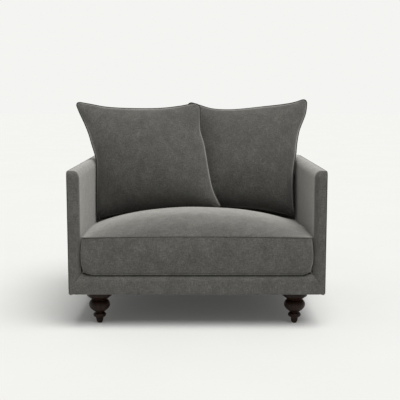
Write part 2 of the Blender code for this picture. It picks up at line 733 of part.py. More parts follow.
def left_cushion(u, w, face):
    """A point on the left cushion: u across and w up, from -1 to 1, on its front or its rear."""
    outer, inner = -side_edge(w), 0.058 - 0.052 * w
    x = outer + (inner - outer) * (u + 1) / 2
    bottom = BACK_CUSHION_BOTTOM - CORNER_DROOP * max(0.0, -u) ** 3
    top = BACK_CUSHION_TOP - 0.030 * (1 - u * u)
    up = bottom + (top - bottom) * (w + 1) / 2
    middle = 0.125 + 0.100 * smooth((x + 0.200) / 0.315)
    half = cushion_half(u, w)
    if face > 0:
        return leaning(x, up, middle + half)
    rear = max(middle - half, BACK_CUSHION_GAP, meeting_surface(x) + BACK_CUSHION_GAP)
    return leaning(x, up, min(rear, middle + half - BACK_CUSHION_EDGE / 2))


def right_cushion(u, w, face):
    """The same for the right cushion, whose inner side is tucked behind the left one."""
    outer, inner = side_edge(w) - 0.012 * smooth(w), -0.075 + 0.035 * w
    x = inner + (outer - inner) * (u + 1) / 2
    bottom = BACK_CUSHION_BOTTOM - CORNER_DROOP * max(0.0, u) ** 3
    top = BACK_CUSHION_TOP - 0.030 * (1 - u * u)
    up = bottom + (top - bottom) * (w + 1) / 2
    middle = 0.120 - 0.095 * smooth((0.200 - x) / 0.310)
    half = cushion_half(u, w)
    rear = max(middle - half, BACK_CUSHION_GAP)
    if face < 0:
        return leaning(x, up, rear)
    front = min(middle + half, meeting_surface(x) - BACK_CUSHION_GAP)
    return leaning(x, up, max(front, rear + BACK_CUSHION_EDGE / 2))


def cushion_half(u, w):
    """Half the thickness: full in the middle, thin at the seam all round."""
    edge = BACK_CUSHION_EDGE / 2
    return edge + (BACK_CUSHION_THICKNESS / 2 - edge) * max(0.0, (1 - u * u) * (1 - w * w)) ** 0.45


def square_outline(count):
    """Points (u, w) round a square from -1 to 1, this many along each side."""
    steps = [-1 + 2 * i / count for i in range(count)]
    side = [(s, -1) for s in steps] + [(1, s) for s in steps]
    return side + [(-s, 1) for s in steps] + [(-1, -s) for s in steps]


def cushion_rings(shape):
    """Rings from the middle of the rear, out to the seam, and in to the middle of the front."""
    outline = square_outline(5)
    rings = [[shape(0, 0, -1)]]
    for share in (0.35, 0.65, 0.88, 1.0):
        rings.append([shape(u * share, w * share, -1) for u, w in outline])
    for share in (1.0, 0.88, 0.65, 0.35):
        rings.append([shape(u * share, w * share, 1) for u, w in outline])
    rings.append([shape(0, 0, 1)])
    return rings


ZIP_REACH = 0.65  # how much of the bottom seam the zip takes


def zip_opening(shape):
    """The middle of the bottom seam of a back cushion, where its zip is."""
    left, right = shape(-ZIP_REACH, -1, 1), shape(ZIP_REACH, -1, 1)

    def inside(place):
        share = (place.x - left.x) / (right.x - left.x)
        u = ZIP_REACH * (2 * share - 1)
        seam = (shape(u, -1, 1) + shape(u, -1, -1)) / 2
        return 0 < share < 1 and (place - seam).length < BACK_CUSHION_EDGE / 2

    return inside


for word, shape in (("left", left_cushion), ("right", right_cushion)):
    filled_cushion(("back_cushion", f"_{word}", "filling"), cushion_rings(shape), zip_opening(shape))
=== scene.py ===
import math

import bmesh
import bpy
import numpy as np
from mathutils import Matrix, Vector, noise


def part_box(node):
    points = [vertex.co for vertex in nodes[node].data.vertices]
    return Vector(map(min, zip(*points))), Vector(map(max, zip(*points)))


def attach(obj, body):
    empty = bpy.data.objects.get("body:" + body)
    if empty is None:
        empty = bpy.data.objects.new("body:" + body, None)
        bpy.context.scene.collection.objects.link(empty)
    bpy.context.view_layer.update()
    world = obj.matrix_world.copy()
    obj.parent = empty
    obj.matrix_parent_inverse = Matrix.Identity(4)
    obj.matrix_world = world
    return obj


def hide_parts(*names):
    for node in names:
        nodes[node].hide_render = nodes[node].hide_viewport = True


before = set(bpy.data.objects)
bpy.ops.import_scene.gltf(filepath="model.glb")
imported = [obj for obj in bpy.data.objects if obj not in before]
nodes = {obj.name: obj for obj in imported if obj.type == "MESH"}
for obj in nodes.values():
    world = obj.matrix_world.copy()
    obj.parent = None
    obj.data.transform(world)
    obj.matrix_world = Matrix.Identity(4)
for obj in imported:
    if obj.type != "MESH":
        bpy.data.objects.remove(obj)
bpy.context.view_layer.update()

# ---------------------------------------------------------------------------------------------
# Timber frame. Planed beech rails, posts, uprights, a centre brace and four corner blocks,
# glued and screwed. Nothing of it shows on a finished chair, so it keeps its machined faces.
# ---------------------------------------------------------------------------------------------


def new_material(name, roughness, metallic=0.0):
    """A material with its Principled shader, and a helper that adds nodes to it."""
    made = bpy.data.materials.new(name)
    made.use_nodes = True
    tree = made.node_tree
    shader = tree.nodes["Principled BSDF"]
    shader.inputs["Roughness"].default_value = roughness
    shader.inputs["Metallic"].default_value = metallic
    return made, tree, shader


def scaled_noise(tree, stretch, scale, detail=3.0, roughness=0.6, distortion=0.0):
    """Noise that is finer along some axes than others; returns its 0 to 1 output."""
    place = tree.nodes.new("ShaderNodeTexCoord")
    mapping = tree.nodes.new("ShaderNodeMapping")
    mapping.inputs["Scale"].default_value = stretch
    grain = tree.nodes.new("ShaderNodeTexNoise")
    grain.inputs["Scale"].default_value = scale
    grain.inputs["Detail"].default_value = detail
    grain.inputs["Roughness"].default_value = roughness
    grain.inputs["Distortion"].default_value = distortion
    tree.links.new(place.outputs["Object"], mapping.inputs["Vector"])
    tree.links.new(mapping.outputs["Vector"], grain.inputs["Vector"])
    return grain.outputs["Fac"]


def ramp(tree, source, *stops):
    """A colour for each value of the source: stops are (position, colour)."""
    made = tree.nodes.new("ShaderNodeValToRGB")
    elements = made.color_ramp.elements
    while len(elements) < len(stops):
        elements.new(0.5)
    for element, (position, colour) in zip(elements, stops):
        element.position = position
        element.color = (*colour, 1.0)
    tree.links.new(source, made.inputs["Fac"])
    return made.outputs["Color"]


def coloured(tree, shader, source, *stops):
    """The shader takes its colour from the source, by a ramp."""
    tree.links.new(ramp(tree, source, *stops), shader.inputs["Base Color"])


def bump(tree, shader, height, strength, distance, under=None):
    """Raise the surface by a height, over another bump if there is one."""
    made = tree.nodes.new("ShaderNodeBump")
    made.inputs["Strength"].default_value = strength
    made.inputs["Distance"].default_value = distance
    tree.links.new(height, made.inputs["Height"])
    if under is not None:
        tree.links.new(under, made.inputs["Normal"])
    tree.links.new(made.outputs["Normal"], shader.inputs["Normal"])
    return made.outputs["Normal"]


def planed_beech():
    made, tree, shader = new_material("planed_beech", 0.62)
    rings = scaled_noise(tree, (3.0, 3.0, 26.0), 7.0, 5.0, 0.62, 0.6)
    flecks = scaled_noise(tree, (60.0, 60.0, 420.0), 5.0, 2.0)
    stops = (0.3, (0.42, 0.27, 0.15)), (0.55, (0.60, 0.43, 0.27)), (0.8, (0.72, 0.55, 0.37))
    coloured(tree, shader, rings, *stops)
    bump(tree, shader, flecks, 0.25, 0.0004)
    return made


def carry_over(names, finish):
    """Pieces that keep the shape they have in the frame take this finish."""
    for name in names:
        mesh = nodes[name].data
        mesh.materials.clear()
        mesh.materials.append(finish)


TIMBER_PIECES = [
    "front_rail", "rear_spring_rail", "bottom_back_rail", "seat_brace", "back_top_rail",
    *[f"{piece}_{side}" for side in ("left", "right")
      for piece in ("side_rail", "arm_front_post", "arm_rear_post", "arm_top_rail", "back_upright",
                    "leg_block_front", "leg_block_rear")],
]
carry_over(TIMBER_PIECES, planed_beech())

# ---------------------------------------------------------------------------------------------
# Hardboard panels. Thin pressed board pinned to the inner faces of the arms and the back, so
# that the padding has something to lie on.
# ---------------------------------------------------------------------------------------------


def pressed_hardboard():
    made, tree, shader = new_material("pressed_hardboard", 0.7)
    fibres = scaled_noise(tree, (1.0, 1.0, 1.0), 260.0, 5.0, 0.7)
    coloured(tree, shader, fibres, (0.3, (0.16, 0.09, 0.045)), (0.7, (0.34, 0.21, 0.11)))
    bump(tree, shader, fibres, 0.3, 0.0003)
    return made


carry_over(["arm_panel_left", "arm_panel_right", "back_panel"], pressed_hardboard())

# ---------------------------------------------------------------------------------------------
# Seat springs. Seven zigzag springs of bright drawn wire, hooked into pressed steel strips on the
# front rail and on the rear spring rail, with a felt pad laid over them.
# ---------------------------------------------------------------------------------------------


def drawn_steel(name, colour, roughness):
    made, tree, shader = new_material(name, roughness, 1.0)
    scratches = scaled_noise(tree, (240.0, 30.0, 240.0), 3.0, 4.0, 0.7)
    darker = tuple(0.6 * c for c in colour)
    coloured(tree, shader, scratches, (0.3, darker), (0.7, colour))
    bump(tree, shader, scratches, 0.15, 0.0002)
    return made


SPRING_STEEL = drawn_steel("drawn_spring_wire", (0.45, 0.46, 0.48), 0.34)
SPRINGS = [f"seat_spring_{i + 1}" for i in range(7)]
carry_over(["spring_clip_strip_front", "spring_clip_strip_rear"], SPRING_STEEL)


def piece(name, builder, finish):
    """A new named piece from its mesh, shaded smooth, in the frame's coordinates."""
    mesh = bpy.data.meshes.new(name)
    builder.to_mesh(mesh)
    builder.free()
    mesh.materials.append(finish)
    mesh.shade_smooth()
    made = bpy.data.objects.new(name, mesh)
    bpy.context.scene.collection.objects.link(made)
    return made


def settle(made, body, slot, *stands_for):
    """The piece moves with a body and stands for pieces of the frame, which it hides; its slot is not used.
    """
    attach(made, body)
    if stands_for:
        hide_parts(*stands_for)
    return made


def tube(name, line, radius, finish, closed=False):
    """A round cord or wire of one thickness that follows a line of points."""
    curve = bpy.data.curves.new(name, "CURVE")
    curve.dimensions = "3D"
    curve.bevel_depth = radius
    curve.bevel_resolution = 2
    curve.use_fill_caps = not closed
    spline = curve.splines.new("POLY")
    spline.points.add(len(line) - 1)
    for point, place in zip(spline.points, line):
        point.co = (*place, 1.0)
    spline.use_cyclic_u = closed
    curve.materials.append(finish)
    shape = bpy.data.objects.new(name + "_line", curve)
    bpy.context.scene.collection.objects.link(shape)
    drawn = shape.evaluated_get(bpy.context.evaluated_depsgraph_get())
    mesh = bpy.data.meshes.new_from_object(drawn)
    bpy.data.objects.remove(shape)
    mesh.name = name
    mesh.shade_smooth()
    made = bpy.data.objects.new(name, mesh)
    bpy.context.scene.collection.objects.link(made)
    return made


SPRING_LOOP = 0.024  # from one bend to the next along the spring
BEND_STEPS = 6
HEXAGON = math.cos(math.radians(30.0))  # the frame's wire is six-sided and lies on a flat


def zigzag(low, high, wire):
    """The middle of a spring's wire: straight runs from side to side, joined by round bends."""
    middle = (low + high) / 2
    reach = (high.x - low.x) / 2 - wire
    length = high.y - low.y - 2 * wire
    turns = 2 * round(length / SPRING_LOOP / 2)
    pitch = length / turns
    bend = min(pitch, reach) / 2
    line = []
    for i in range(1, turns):
        side = 1 if i % 2 else -1
        y = low.y + wire + i * pitch
        for step in range(BEND_STEPS + 1):
            turn = math.pi * (step / BEND_STEPS - 0.5)
            x = middle.x + side * (reach - bend + bend * math.cos(turn))
            line.append((x, y + bend * math.sin(turn), middle.z))
    return line


for node in SPRINGS:
    low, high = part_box(node)
    wire = (high.z - low.z) / 2 / HEXAGON
    spring = tube(node + "_wire", zigzag(low, high, wire), wire, SPRING_STEEL)
    settle(spring, "frame", "spring_steel", node)


def needled_felt():
    made, tree, shader = new_material("needled_felt", 0.95)
    tufts = scaled_noise(tree, (1.0, 1.0, 1.0), 420.0, 6.0, 0.75)
    stops = (0.25, (0.14, 0.14, 0.15)), (0.5, (0.33, 0.32, 0.33)), (0.75, (0.52, 0.50, 0.50))
    coloured(tree, shader, tufts, *stops)
    bump(tree, shader, tufts, 0.5, 0.0012)
    return made


EDGE_SHARE = 0.55  # how thick a pad is at its edge, beside its middle


def rim_of(across, along):
    """Once round the edge of a grid of points, as (across, along) steps."""
    rim = [(i, 0) for i in range(across)] + [(across, j) for j in range(along)]
    return rim + [(i, along) for i in range(across, 0, -1)] + [(0, j) for j in range(along, 0, -1)]


def padded_sheet(name, low, high, finish, step, unevenness):
    """A flat pad with a soft rounded edge and slightly uneven faces."""
    builder = bmesh.new()
    counts = [max(2, round((high[i] - low[i]) / step)) for i in (0, 1)]
    size = high - low
    rows = []
    for face in (1, -1):
        rows.append([])
        for j in range(counts[1] + 1):
            rows[-1].append([])
            for i in range(counts[0] + 1):
                u, w = i / counts[0], j / counts[1]
                edge = min(1.0, i, counts[0] - i, j, counts[1] - j)
                dip = 0.5 + 0.5 * noise.noise(Vector((u * 19, w * 17, face)))
                lift = 0.5 * size.z * (EDGE_SHARE + (1 - EDGE_SHARE) * edge)
                lift -= unevenness * size.z * dip * edge
                z = (low.z + high.z) / 2 + face * lift
                rows[-1][-1].append(builder.verts.new((low.x + u * size.x, low.y + w * size.y, z)))
    top, under = rows
    for j in range(counts[1]):
        for i in range(counts[0]):
            builder.faces.new((top[j][i], top[j][i + 1], top[j + 1][i + 1], top[j + 1][i]))
            builder.faces.new((under[j][i], under[j + 1][i], under[j + 1][i + 1], under[j][i + 1]))
    rim = rim_of(*counts)
    for (i, j), (k, m) in zip(rim, rim[1:] + rim[:1]):
        builder.faces.new((under[j][i], under[m][k], top[m][k], top[j][i]))
    return piece(name, builder, finish)


pad = padded_sheet("spring_felt", *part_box("spring_cover_pad"), needled_felt(), 0.04, 0.15)
settle(pad, "frame", "felt_pad", "spring_cover_pad")

# ---------------------------------------------------------------------------------------------
# Dust cover. Thin black spun cloth, drawn flat and tacked under the rails, so that no dust or
# loose fibre falls out of the seat.
# ---------------------------------------------------------------------------------------------


def spun_cloth():
    made, tree, shader = new_material("spun_dust_cloth", 0.9)
    web = scaled_noise(tree, (1.0, 1.0, 1.0), 500.0, 4.0, 0.8)
    coloured(tree, shader, web, (0.3, (0.012, 0.012, 0.013)), (0.7, (0.045, 0.045, 0.048)))
    bump(tree, shader, web, 0.35, 0.0004)
    return made


carry_over(["dust_cover"], spun_cloth())

# ---------------------------------------------------------------------------------------------
# Feet. Each is turned from one piece of beech stained almost black: a flared cap under the body,
# a round bulb, a waist, a ring and a tapered toe. A hanger bolt holds it and a nylon glide ends it.
# ---------------------------------------------------------------------------------------------


def stained_wood():
    made, tree, shader = new_material("dark_stained_wood", 0.42)
    grain = scaled_noise(tree, (9.0, 9.0, 1.1), 16.0, 6.0, 0.65, 0.8)
    pores = scaled_noise(tree, (160.0, 160.0, 9.0), 4.0, 3.0, 0.7)
    coloured(
        tree,
        shader,
        grain,
        (0.3, (0.0050, 0.0022, 0.0011)),
        (0.55, (0.0160, 0.0064, 0.0030)),
        (0.8, (0.048, 0.0195, 0.0090)),
    )
    shader.inputs["Coat Weight"].default_value = 0.05
    shader.inputs["Coat Roughness"].default_value = 0.30
    shader.inputs["Specular IOR Level"].default_value = 0.16
    bump(tree, shader, pores, 0.12, 0.0003)
    return made


STAINED_WOOD = stained_wood()
FOOT_SIDES = 64
CAP_RADIUS = 0.0545
CAP_EDGE_Z = 0.1240  # the straight edge of the cap stops here and the flare begins
NECK_RADIUS = 0.0325
NECK_Z = 0.1070
BULB_RADIUS = 0.0464
BULB_Z = 0.0835
WAIST_RADIUS = 0.0182
WAIST_Z = 0.0505
RING_RADIUS = 0.0285
RING_Z = 0.0365
TOE_RADIUS = 0.0125
EASE = 0.0015  # how far a sharp edge is taken off, and how deep a cut between two beads is
FLARE_STEPS = 8
FLARE_BOW = 1.05


def quarter(upper, lower, fullness, steps, outward=True):
    """A quarter-round from one (radius, height) down to another.

    It ends upright where it goes outward, and starts upright where it goes inward.
    """
    points = []
    for i in range(steps + 1):
        turn = math.pi / 2 * i / steps
        if outward:
            reach, drop = math.sin(turn) ** fullness, 1 - math.cos(turn)
        else:
            reach, drop = 1 - math.cos(turn) ** fullness, math.sin(turn)
        radius = upper[0] + (lower[0] - upper[0]) * reach
        points.append((radius, upper[1] + (lower[1] - upper[1]) * drop))
    return points


def turned(name, profile, x, y, finish):
    """A round piece spun from (radius, height) points about an upright axis."""
    builder = bmesh.new()
    rings = []
    for radius, z in profile:
        ring = []
        for i in range(FOOT_SIDES):
            turn = 2 * math.pi * i / FOOT_SIDES
            spot = (x + radius * math.cos(turn), y + radius * math.sin(turn), z)
            ring.append(builder.verts.new(spot))
        rings.append(ring)
    for upper, lower in zip(rings, rings[1:]):
        for i in range(FOOT_SIDES):
            k = (i + 1) % FOOT_SIDES
            builder.faces.new((upper[i], lower[i], lower[k], upper[k]))
    builder.faces.new(rings[0])
    builder.faces.new(reversed(rings[-1]))
    bmesh.ops.recalc_face_normals(builder, faces=builder.faces)
    made = piece(name, builder, finish)
    made.data.set_sharp_from_angle(angle=math.radians(42.0))
    return made


def foot_profile(top, bottom):
    """From the body down to the glide."""
    points = [(CAP_RADIUS - EASE, top), (CAP_RADIUS, top - EASE), (CAP_RADIUS, CAP_EDGE_Z)]
    for i in range(1, FLARE_STEPS + 1):
        share = 1 - i / FLARE_STEPS
        radius = NECK_RADIUS + (CAP_RADIUS - NECK_RADIUS) * share ** FLARE_BOW
        points.append((radius, NECK_Z + (CAP_EDGE_Z - NECK_Z) * share))
    points += [(NECK_RADIUS - EASE, NECK_Z - 0.0005), (NECK_RADIUS - EASE, NECK_Z - 0.0015)]
    points += quarter((NECK_RADIUS, NECK_Z - 0.002), (BULB_RADIUS, BULB_Z), 1.3, 12)
    points += quarter((BULB_RADIUS, BULB_Z), (WAIST_RADIUS, WAIST_Z), 1.8, 14, outward=False)[1:]
    points += [(WAIST_RADIUS - EASE, WAIST_Z - 0.0008), (WAIST_RADIUS - EASE, WAIST_Z - 0.0028)]
    points += quarter((WAIST_RADIUS, WAIST_Z - 0.0036), (RING_RADIUS, RING_Z), 0.9, 8)
    points += quarter((RING_RADIUS, RING_Z), (TOE_RADIUS + 0.0055, 0.0258), 1.4, 8, outward=False)[1:]
    points += [(TOE_RADIUS + 0.0045, 0.0252), (TOE_RADIUS + 0.0028, 0.0160)]
    points += [(TOE_RADIUS + 0.0012, 0.0085), (TOE_RADIUS + 0.0002, bottom + 0.0018)]
    points += [(TOE_RADIUS - 0.0010, bottom)]
    return points


FOOT_PLACES = [f"{end}_{side}" for end in ("front", "rear") for side in ("left", "right")]
for word in FOOT_PLACES:
    low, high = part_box(f"leg_{word}")
    middle = (low + high) / 2
    foot = turned(f"foot_{word}", foot_profile(high.z, low.z), middle.x, middle.y, STAINED_WOOD)
    settle(foot, "frame", "dark_stained_wood", f"leg_{word}")


def moulded_nylon():
    made, tree, shader = new_material("moulded_black_nylon", 0.45)
    scuffs = scaled_noise(tree, (1.0, 1.0, 1.0), 300.0, 3.0)
    coloured(tree, shader, scuffs, (0.3, (0.012, 0.012, 0.012)), (0.8, (0.03, 0.03, 0.03)))
    bump(tree, shader, scuffs, 0.2, 0.0002)
    return made


ZINC_PLATE = drawn_steel("zinc_plated_steel", (0.62, 0.63, 0.66), 0.3)
carry_over([f"leg_bolt_{word}" for word in FOOT_PLACES], ZINC_PLATE)
carry_over([f"leg_glide_{word}" for word in FOOT_PLACES], moulded_nylon())

# ---------------------------------------------------------------------------------------------
# Arms. A thin slab of padding over the timber and board, covered in brushed grey cloth. The outer
# panel and the band that runs up the front and over the top are joined by a fine piped seam.
# ---------------------------------------------------------------------------------------------

CLOTH_SHADES = (0.045, 0.0439, 0.0401), (0.083, 0.0808, 0.0738), (0.144, 0.1404, 0.1282)
# Painted sheen: the pale colours added to the cloth where it is seen at a low angle.
PAINTED_SHEEN_SHADES = (0.18, 0.1764, 0.1638), (0.39, 0.3824, 0.3550)


def brushed_cloth(name, depth, sheen_strength):
    """Dark warm grey brushed weave: crossed yarns, felted mottling, and a painted sheen that adds a paler
    colour where the surface is seen at a low angle.
    """
    made, tree, shader = new_material(name, 0.92)
    warp = scaled_noise(tree, (1.0, 1.0, 0.10), 430.0, 2.0, 0.6)
    weft = scaled_noise(tree, (0.10, 1.0, 1.0), 400.0, 2.0, 0.6)
    felt = scaled_noise(tree, (1.0, 1.0, 1.0), 170.0, 4.0, 0.75, 0.5)
    clouds = scaled_noise(tree, (1.0, 1.0, 0.8), 24.0, 4.0, 0.66, 0.5)

    def blended(first, second, share):
        node = tree.nodes.new("ShaderNodeMix")
        node.inputs["Factor"].default_value = share
        tree.links.new(first, node.inputs["A"])
        tree.links.new(second, node.inputs["B"])
        return node.outputs["Result"]

    yarn = blended(warp, weft, 0.5)
    tone = blended(blended(felt, clouds, 0.32), yarn, 0.34)
    # A depth below 1 darkens the whole colour: painted shade, used for the piping.
    dark, middle, pale = [[depth * c for c in shade] for shade in CLOTH_SHADES]
    colour = ramp(tree, tone, (0.36, dark), (0.50, middle), (0.64, pale))
    painted_sheen_colour = ramp(tree, tone, (0.36, PAINTED_SHEEN_SHADES[0]), (0.64, PAINTED_SHEEN_SHADES[1]))
    # Painted sheen: from here a paler colour is added to the base colour as the surface turns edge-on to the
    # view.
    edge = tree.nodes.new("ShaderNodeLayerWeight")
    edge.inputs["Blend"].default_value = 0.5
    painted_sheen_mask = ramp(
        tree,
        edge.outputs["Facing"],
        (0.45, (0.0, 0.0, 0.0)),
        (0.70, (0.25 * sheen_strength,) * 3),
        (0.93, (sheen_strength,) * 3),
    )
    with_painted_sheen = tree.nodes.new("ShaderNodeMix")
    with_painted_sheen.data_type = "RGBA"
    with_painted_sheen.blend_type = "ADD"
    first_colour, second_colour = with_painted_sheen.inputs[6], with_painted_sheen.inputs[7]
    tree.links.new(painted_sheen_mask, with_painted_sheen.inputs["Factor"])
    tree.links.new(colour, first_colour)
    tree.links.new(painted_sheen_colour, second_colour)
    tree.links.new(with_painted_sheen.outputs[2], shader.inputs["Base Color"])
    shader.inputs["Sheen Weight"].default_value = 0.25 * sheen_strength
    shader.inputs["Sheen Roughness"].default_value = 0.5
    shader.inputs["Sheen Tint"].default_value = (0.90, 0.88, 0.83, 1.0)
    shader.inputs["Specular IOR Level"].default_value = 0.12
    coarse = bump(tree, shader, felt, 0.35, 0.0012)
    bump(tree, shader, yarn, 0.4, 0.0008, coarse)
    return made


CLOTH = brushed_cloth("brushed_grey_cloth", 1.0, 1.0)
# The piping is the same cloth made darker and without sheen: its darkness is painted shade along the seams.
PAINTED_SHADE_PIPING = brushed_cloth("brushed_grey_piping_painted_shade", 0.7, 0.0)
ARM_LOW, ARM_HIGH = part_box("arm_cover_right")
DECK_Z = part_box("seat_platform_cover")[1].z
ARM_INNER_ROLL = 0.028  # the inner side rolls softly into the front and the top
ARM_OUTER_EDGE = 0.0095  # the outer side meets them at a tighter, piped edge
FRONT_ROLL = (0.0085, 0.032)  # how far the front takes part in the two: outer side, inner side
TOP_ROLL = (0.013, 0.034)
UNDER_ROLL = (0.010, 0.010)
REAR_EDGE = 0.0025
ROLL_CLOSES = 0.6  # the inner roll tightens from this share of the arm's length back
ARM_CROWN = 0.0025  # how far a broad face swells in its middle
ARM_MESH = 0.012
COVER_DEPTH = 0.006  # cloth and the padding stitched to it
WRAP = 0.004  # the cloth ends this far below the timber
HIDDEN_DEPTH = 0.030  # below the deck and inside both ends, the inner side has no cloth
SLACK = 0.0008  # how uneven the cloth lies
PIPE_RADIUS = 0.0024
PIPE_BEND = 0.014
CORNER_ROWS = 5  # rows of faces round a rolled edge, on each side of its middle


def zones(length, step):
    """Places along one side as (share of the flat, lean into the corner), from end to end."""
    count = max(1, round(length / step))
    corner = [math.tan(math.pi / 4 * i / CORNER_ROWS) for i in range(1, CORNER_ROWS + 1)]
    low = [(0.0, -c) for c in reversed(corner)]
    return low + [(i / count, 0.0) for i in range(count + 1)] + [(1.0, c) for c in corner]


def soft_block(low, high, step, corner):
    """A box in an even mesh, rounded at its edges: corner(axis, end, shares) is their reach."""
    builder = bmesh.new()
    sides = [zones(high[axis] - low[axis], step) for axis in range(3)]
    made = {}

    def point(*index):
        if index not in made:
            shares = [sides[axis][index[axis]][0] for axis in range(3)]
            lean = Vector([sides[axis][index[axis]][1] for axis in range(3)])
            if lean.length > 1e-9:
                lean = lean.normalized() * max(abs(c) for c in lean)
            place = []
            for axis in range(3):
                near, far = (corner(axis, end, shares) for end in (0, 1))
                flat = high[axis] - low[axis] - near - far
                reach = near if lean[axis] < 0 else far
                place.append(low[axis] + near + flat * shares[axis] + lean[axis] * reach)
            made[index] = builder.verts.new(place)
        return made[index]

    last = [len(side) - 1 for side in sides]
    for axis in range(3):
        a, b = (axis + 1) % 3, (axis + 2) % 3
        for end in (0, last[axis]):
            for i in range(last[a]):
                for j in range(last[b]):
                    ring = []
                    for di, dj in ((0, 0), (1, 0), (1, 1), (0, 1)):
                        index = [0, 0, 0]
                        index[axis], index[a], index[b] = end, i + di, j + dj
                        ring.append(point(*index))
                    builder.faces.new(ring if end else reversed(ring))
    return builder


def eased(share):
    """From 0 to 1, starting and ending gently."""
    share = min(max(share, 0.0), 1.0)
    return share * share * (3 - 2 * share)


def arm_corner(axis, end, shares):
    """Broad rolls on the inner side that tighten where it meets the back; tight edges outside."""
    across, along = shares[0], eased((shares[1] - ROLL_CLOSES) / (1 - ROLL_CLOSES))
    if axis == 0 and end:
        return ARM_OUTER_EDGE
    if axis == 0:
        return ARM_INNER_ROLL + (REAR_EDGE - ARM_INNER_ROLL) * along
    if axis == 1:
        outer, inner = FRONT_ROLL
    else:
        outer, inner = TOP_ROLL if end else UNDER_ROLL
    if axis == 1 and end:
        inner = REAR_EDGE
    if axis == 2:
        inner += (REAR_EDGE - inner) * along
    return inner + (outer - inner) * across


def crowned(place, low, high, crown, axis):
    """How far a point on a broad face swells out: most in the middle and nothing at the edges."""
    share = 1.0
    for other in range(3):
        if other != axis:
            across = 2 * (place[other] - low[other]) / (high[other] - low[other]) - 1
            share *= max(0.0, 1 - abs(across) ** 6)
    return crown * share


def upholstered_arm(word, side):
    """A cover in thick cloth, open underneath, made for the right arm and turned over for the left."""
    builder = soft_block(ARM_LOW - Vector((0, 0, WRAP)), ARM_HIGH, ARM_MESH, arm_corner)
    hidden = []
    for face in builder.faces:
        x, y, z = face.calc_center_median()
        underneath = z < ARM_LOW.z - WRAP + 0.0005
        inner = x < ARM_LOW.x + 0.0005
        in_the_seat = z < DECK_Z - HIDDEN_DEPTH and abs(y) < ARM_HIGH.y - HIDDEN_DEPTH
        if underneath or (inner and in_the_seat):
            hidden.append(face)
    bmesh.ops.delete(builder, geom=hidden, context="FACES")
    for vertex in builder.verts:
        place = vertex.co
        if place.x > ARM_HIGH.x - 0.001:
            swell = crowned(place, ARM_LOW, ARM_HIGH, ARM_CROWN, 0)
            place.x += swell + SLACK * noise.noise(place * 9.0)
        place.y += SLACK * noise.noise(place * 11.0)
        if place.z > ARM_HIGH.z - 0.02:
            place.z += 0.0010 * noise.noise(Vector((0.0, place.y * 9.0, 3.0)))
    made = piece(f"arm_upholstery_{word}", builder, CLOTH)
    if side < 0:
        made.data.transform(Matrix.Scale(-1, 4, Vector((1, 0, 0))))
        made.data.flip_normals()
    shell = made.modifiers.new("thickness", "SOLIDIFY")
    shell.thickness = COVER_DEPTH
    shell.offset = -1.0
    return made


def arm_seam(side):
    """Up the outer front edge, back along the outer top edge and down the outer rear edge."""
    reach = ARM_OUTER_EDGE * (1 - math.sqrt(0.5))
    x = side * (ARM_HIGH.x - reach)
    front, rear, top = ARM_LOW.y + reach, ARM_HIGH.y - reach, ARM_HIGH.z - reach - 0.001
    foot, bend = ARM_LOW.z + 0.004, PIPE_BEND
    rise = top - bend - foot
    turns = [math.pi / 12 * i for i in range(1, 6)]
    line = [(x, front, foot + rise * i / 24) for i in range(25)]
    for turn in turns:
        line.append((x, front + bend - bend * math.cos(turn), top - bend + bend * math.sin(turn)))
    line += [(x, front + bend + (rear - front - 2 * bend) * i / 40, top) for i in range(41)]
    for turn in turns:
        line.append((x, rear - bend + bend * math.sin(turn), top - bend + bend * math.cos(turn)))
    line += [(x, rear, top - bend - rise * i / 24) for i in range(25)]
    return line


SIDES = (("left", -1), ("right", 1))
for word, side in SIDES:
    arm = upholstered_arm(word, side)
    settle(arm, "frame", "upholstery_fabric", f"arm_cover_{word}", f"arm_padding_{word}")
    seam = tube(f"arm_piping_{word}", arm_seam(side), PIPE_RADIUS, PAINTED_SHADE_PIPING)
    settle(seam, "frame", "upholstery_fabric")

# ---------------------------------------------------------------------------------------------
# Back. The inside back slopes between the arms and rolls level over the top rail; the outside
# back is one flat panel of the same cloth, slip-stitched under a fine piped seam.
# ---------------------------------------------------------------------------------------------

RAKE = math.radians(13.0)
BACK_LOW, BACK_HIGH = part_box("inside_back_cover")
PANEL_LOW, PANEL_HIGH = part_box("outside_back_cover")
BACK_COVER_DEPTH = 0.0085
BACK_ROLL = 0.016  # the radius at the top of the slope
PANEL_EDGE = 0.001
STRIP_END = 0.002  # the outermost points of a strip lie within this of its ends


def swept(name, section, x_from, x_to, columns, shift=None):
    """A closed strip: a section of (y, z) points in the side view, carried across the chair."""
    builder = bmesh.new()
    rows = []
    first, last = x_from + STRIP_END, x_to - STRIP_END
    spread = [x_from, x_from + STRIP_END * 0.3, first]
    spread += [first + (last - first) * i / columns for i in range(1, columns)]
    spread += [last, x_to - STRIP_END * 0.3, x_to]
    for x in spread:
        row = []
        for y, z in section:
            place = Vector((x, y, z))
            if shift is not None:
                place += shift(x, y, z)
            row.append(builder.verts.new(place))
        rows.append(row)
    for this, following in zip(rows, rows[1:]):
        for k in range(len(section)):
            m = (k + 1) % len(section)
            builder.faces.new((this[k], this[m], following[m], following[k]))
    builder.faces.new(reversed(rows[0]))
    builder.faces.new(rows[-1])
    bmesh.ops.recalc_face_normals(builder, faces=builder.faces)
    made = piece(name, builder, CLOTH)
    made.data.set_sharp_from_angle(angle=math.radians(50.0))
    return made


def inset_line(line, depth):
    """The same line moved in by a depth, on its right-hand side."""
    moved = []
    for k, (y, z) in enumerate(line):
        before, after = line[max(0, k - 1)], line[min(len(line) - 1, k + 1)]
        along = Vector((after[0] - before[0], after[1] - before[1])).normalized()
        moved.append((y + along.y * depth, z - along.x * depth))
    return moved


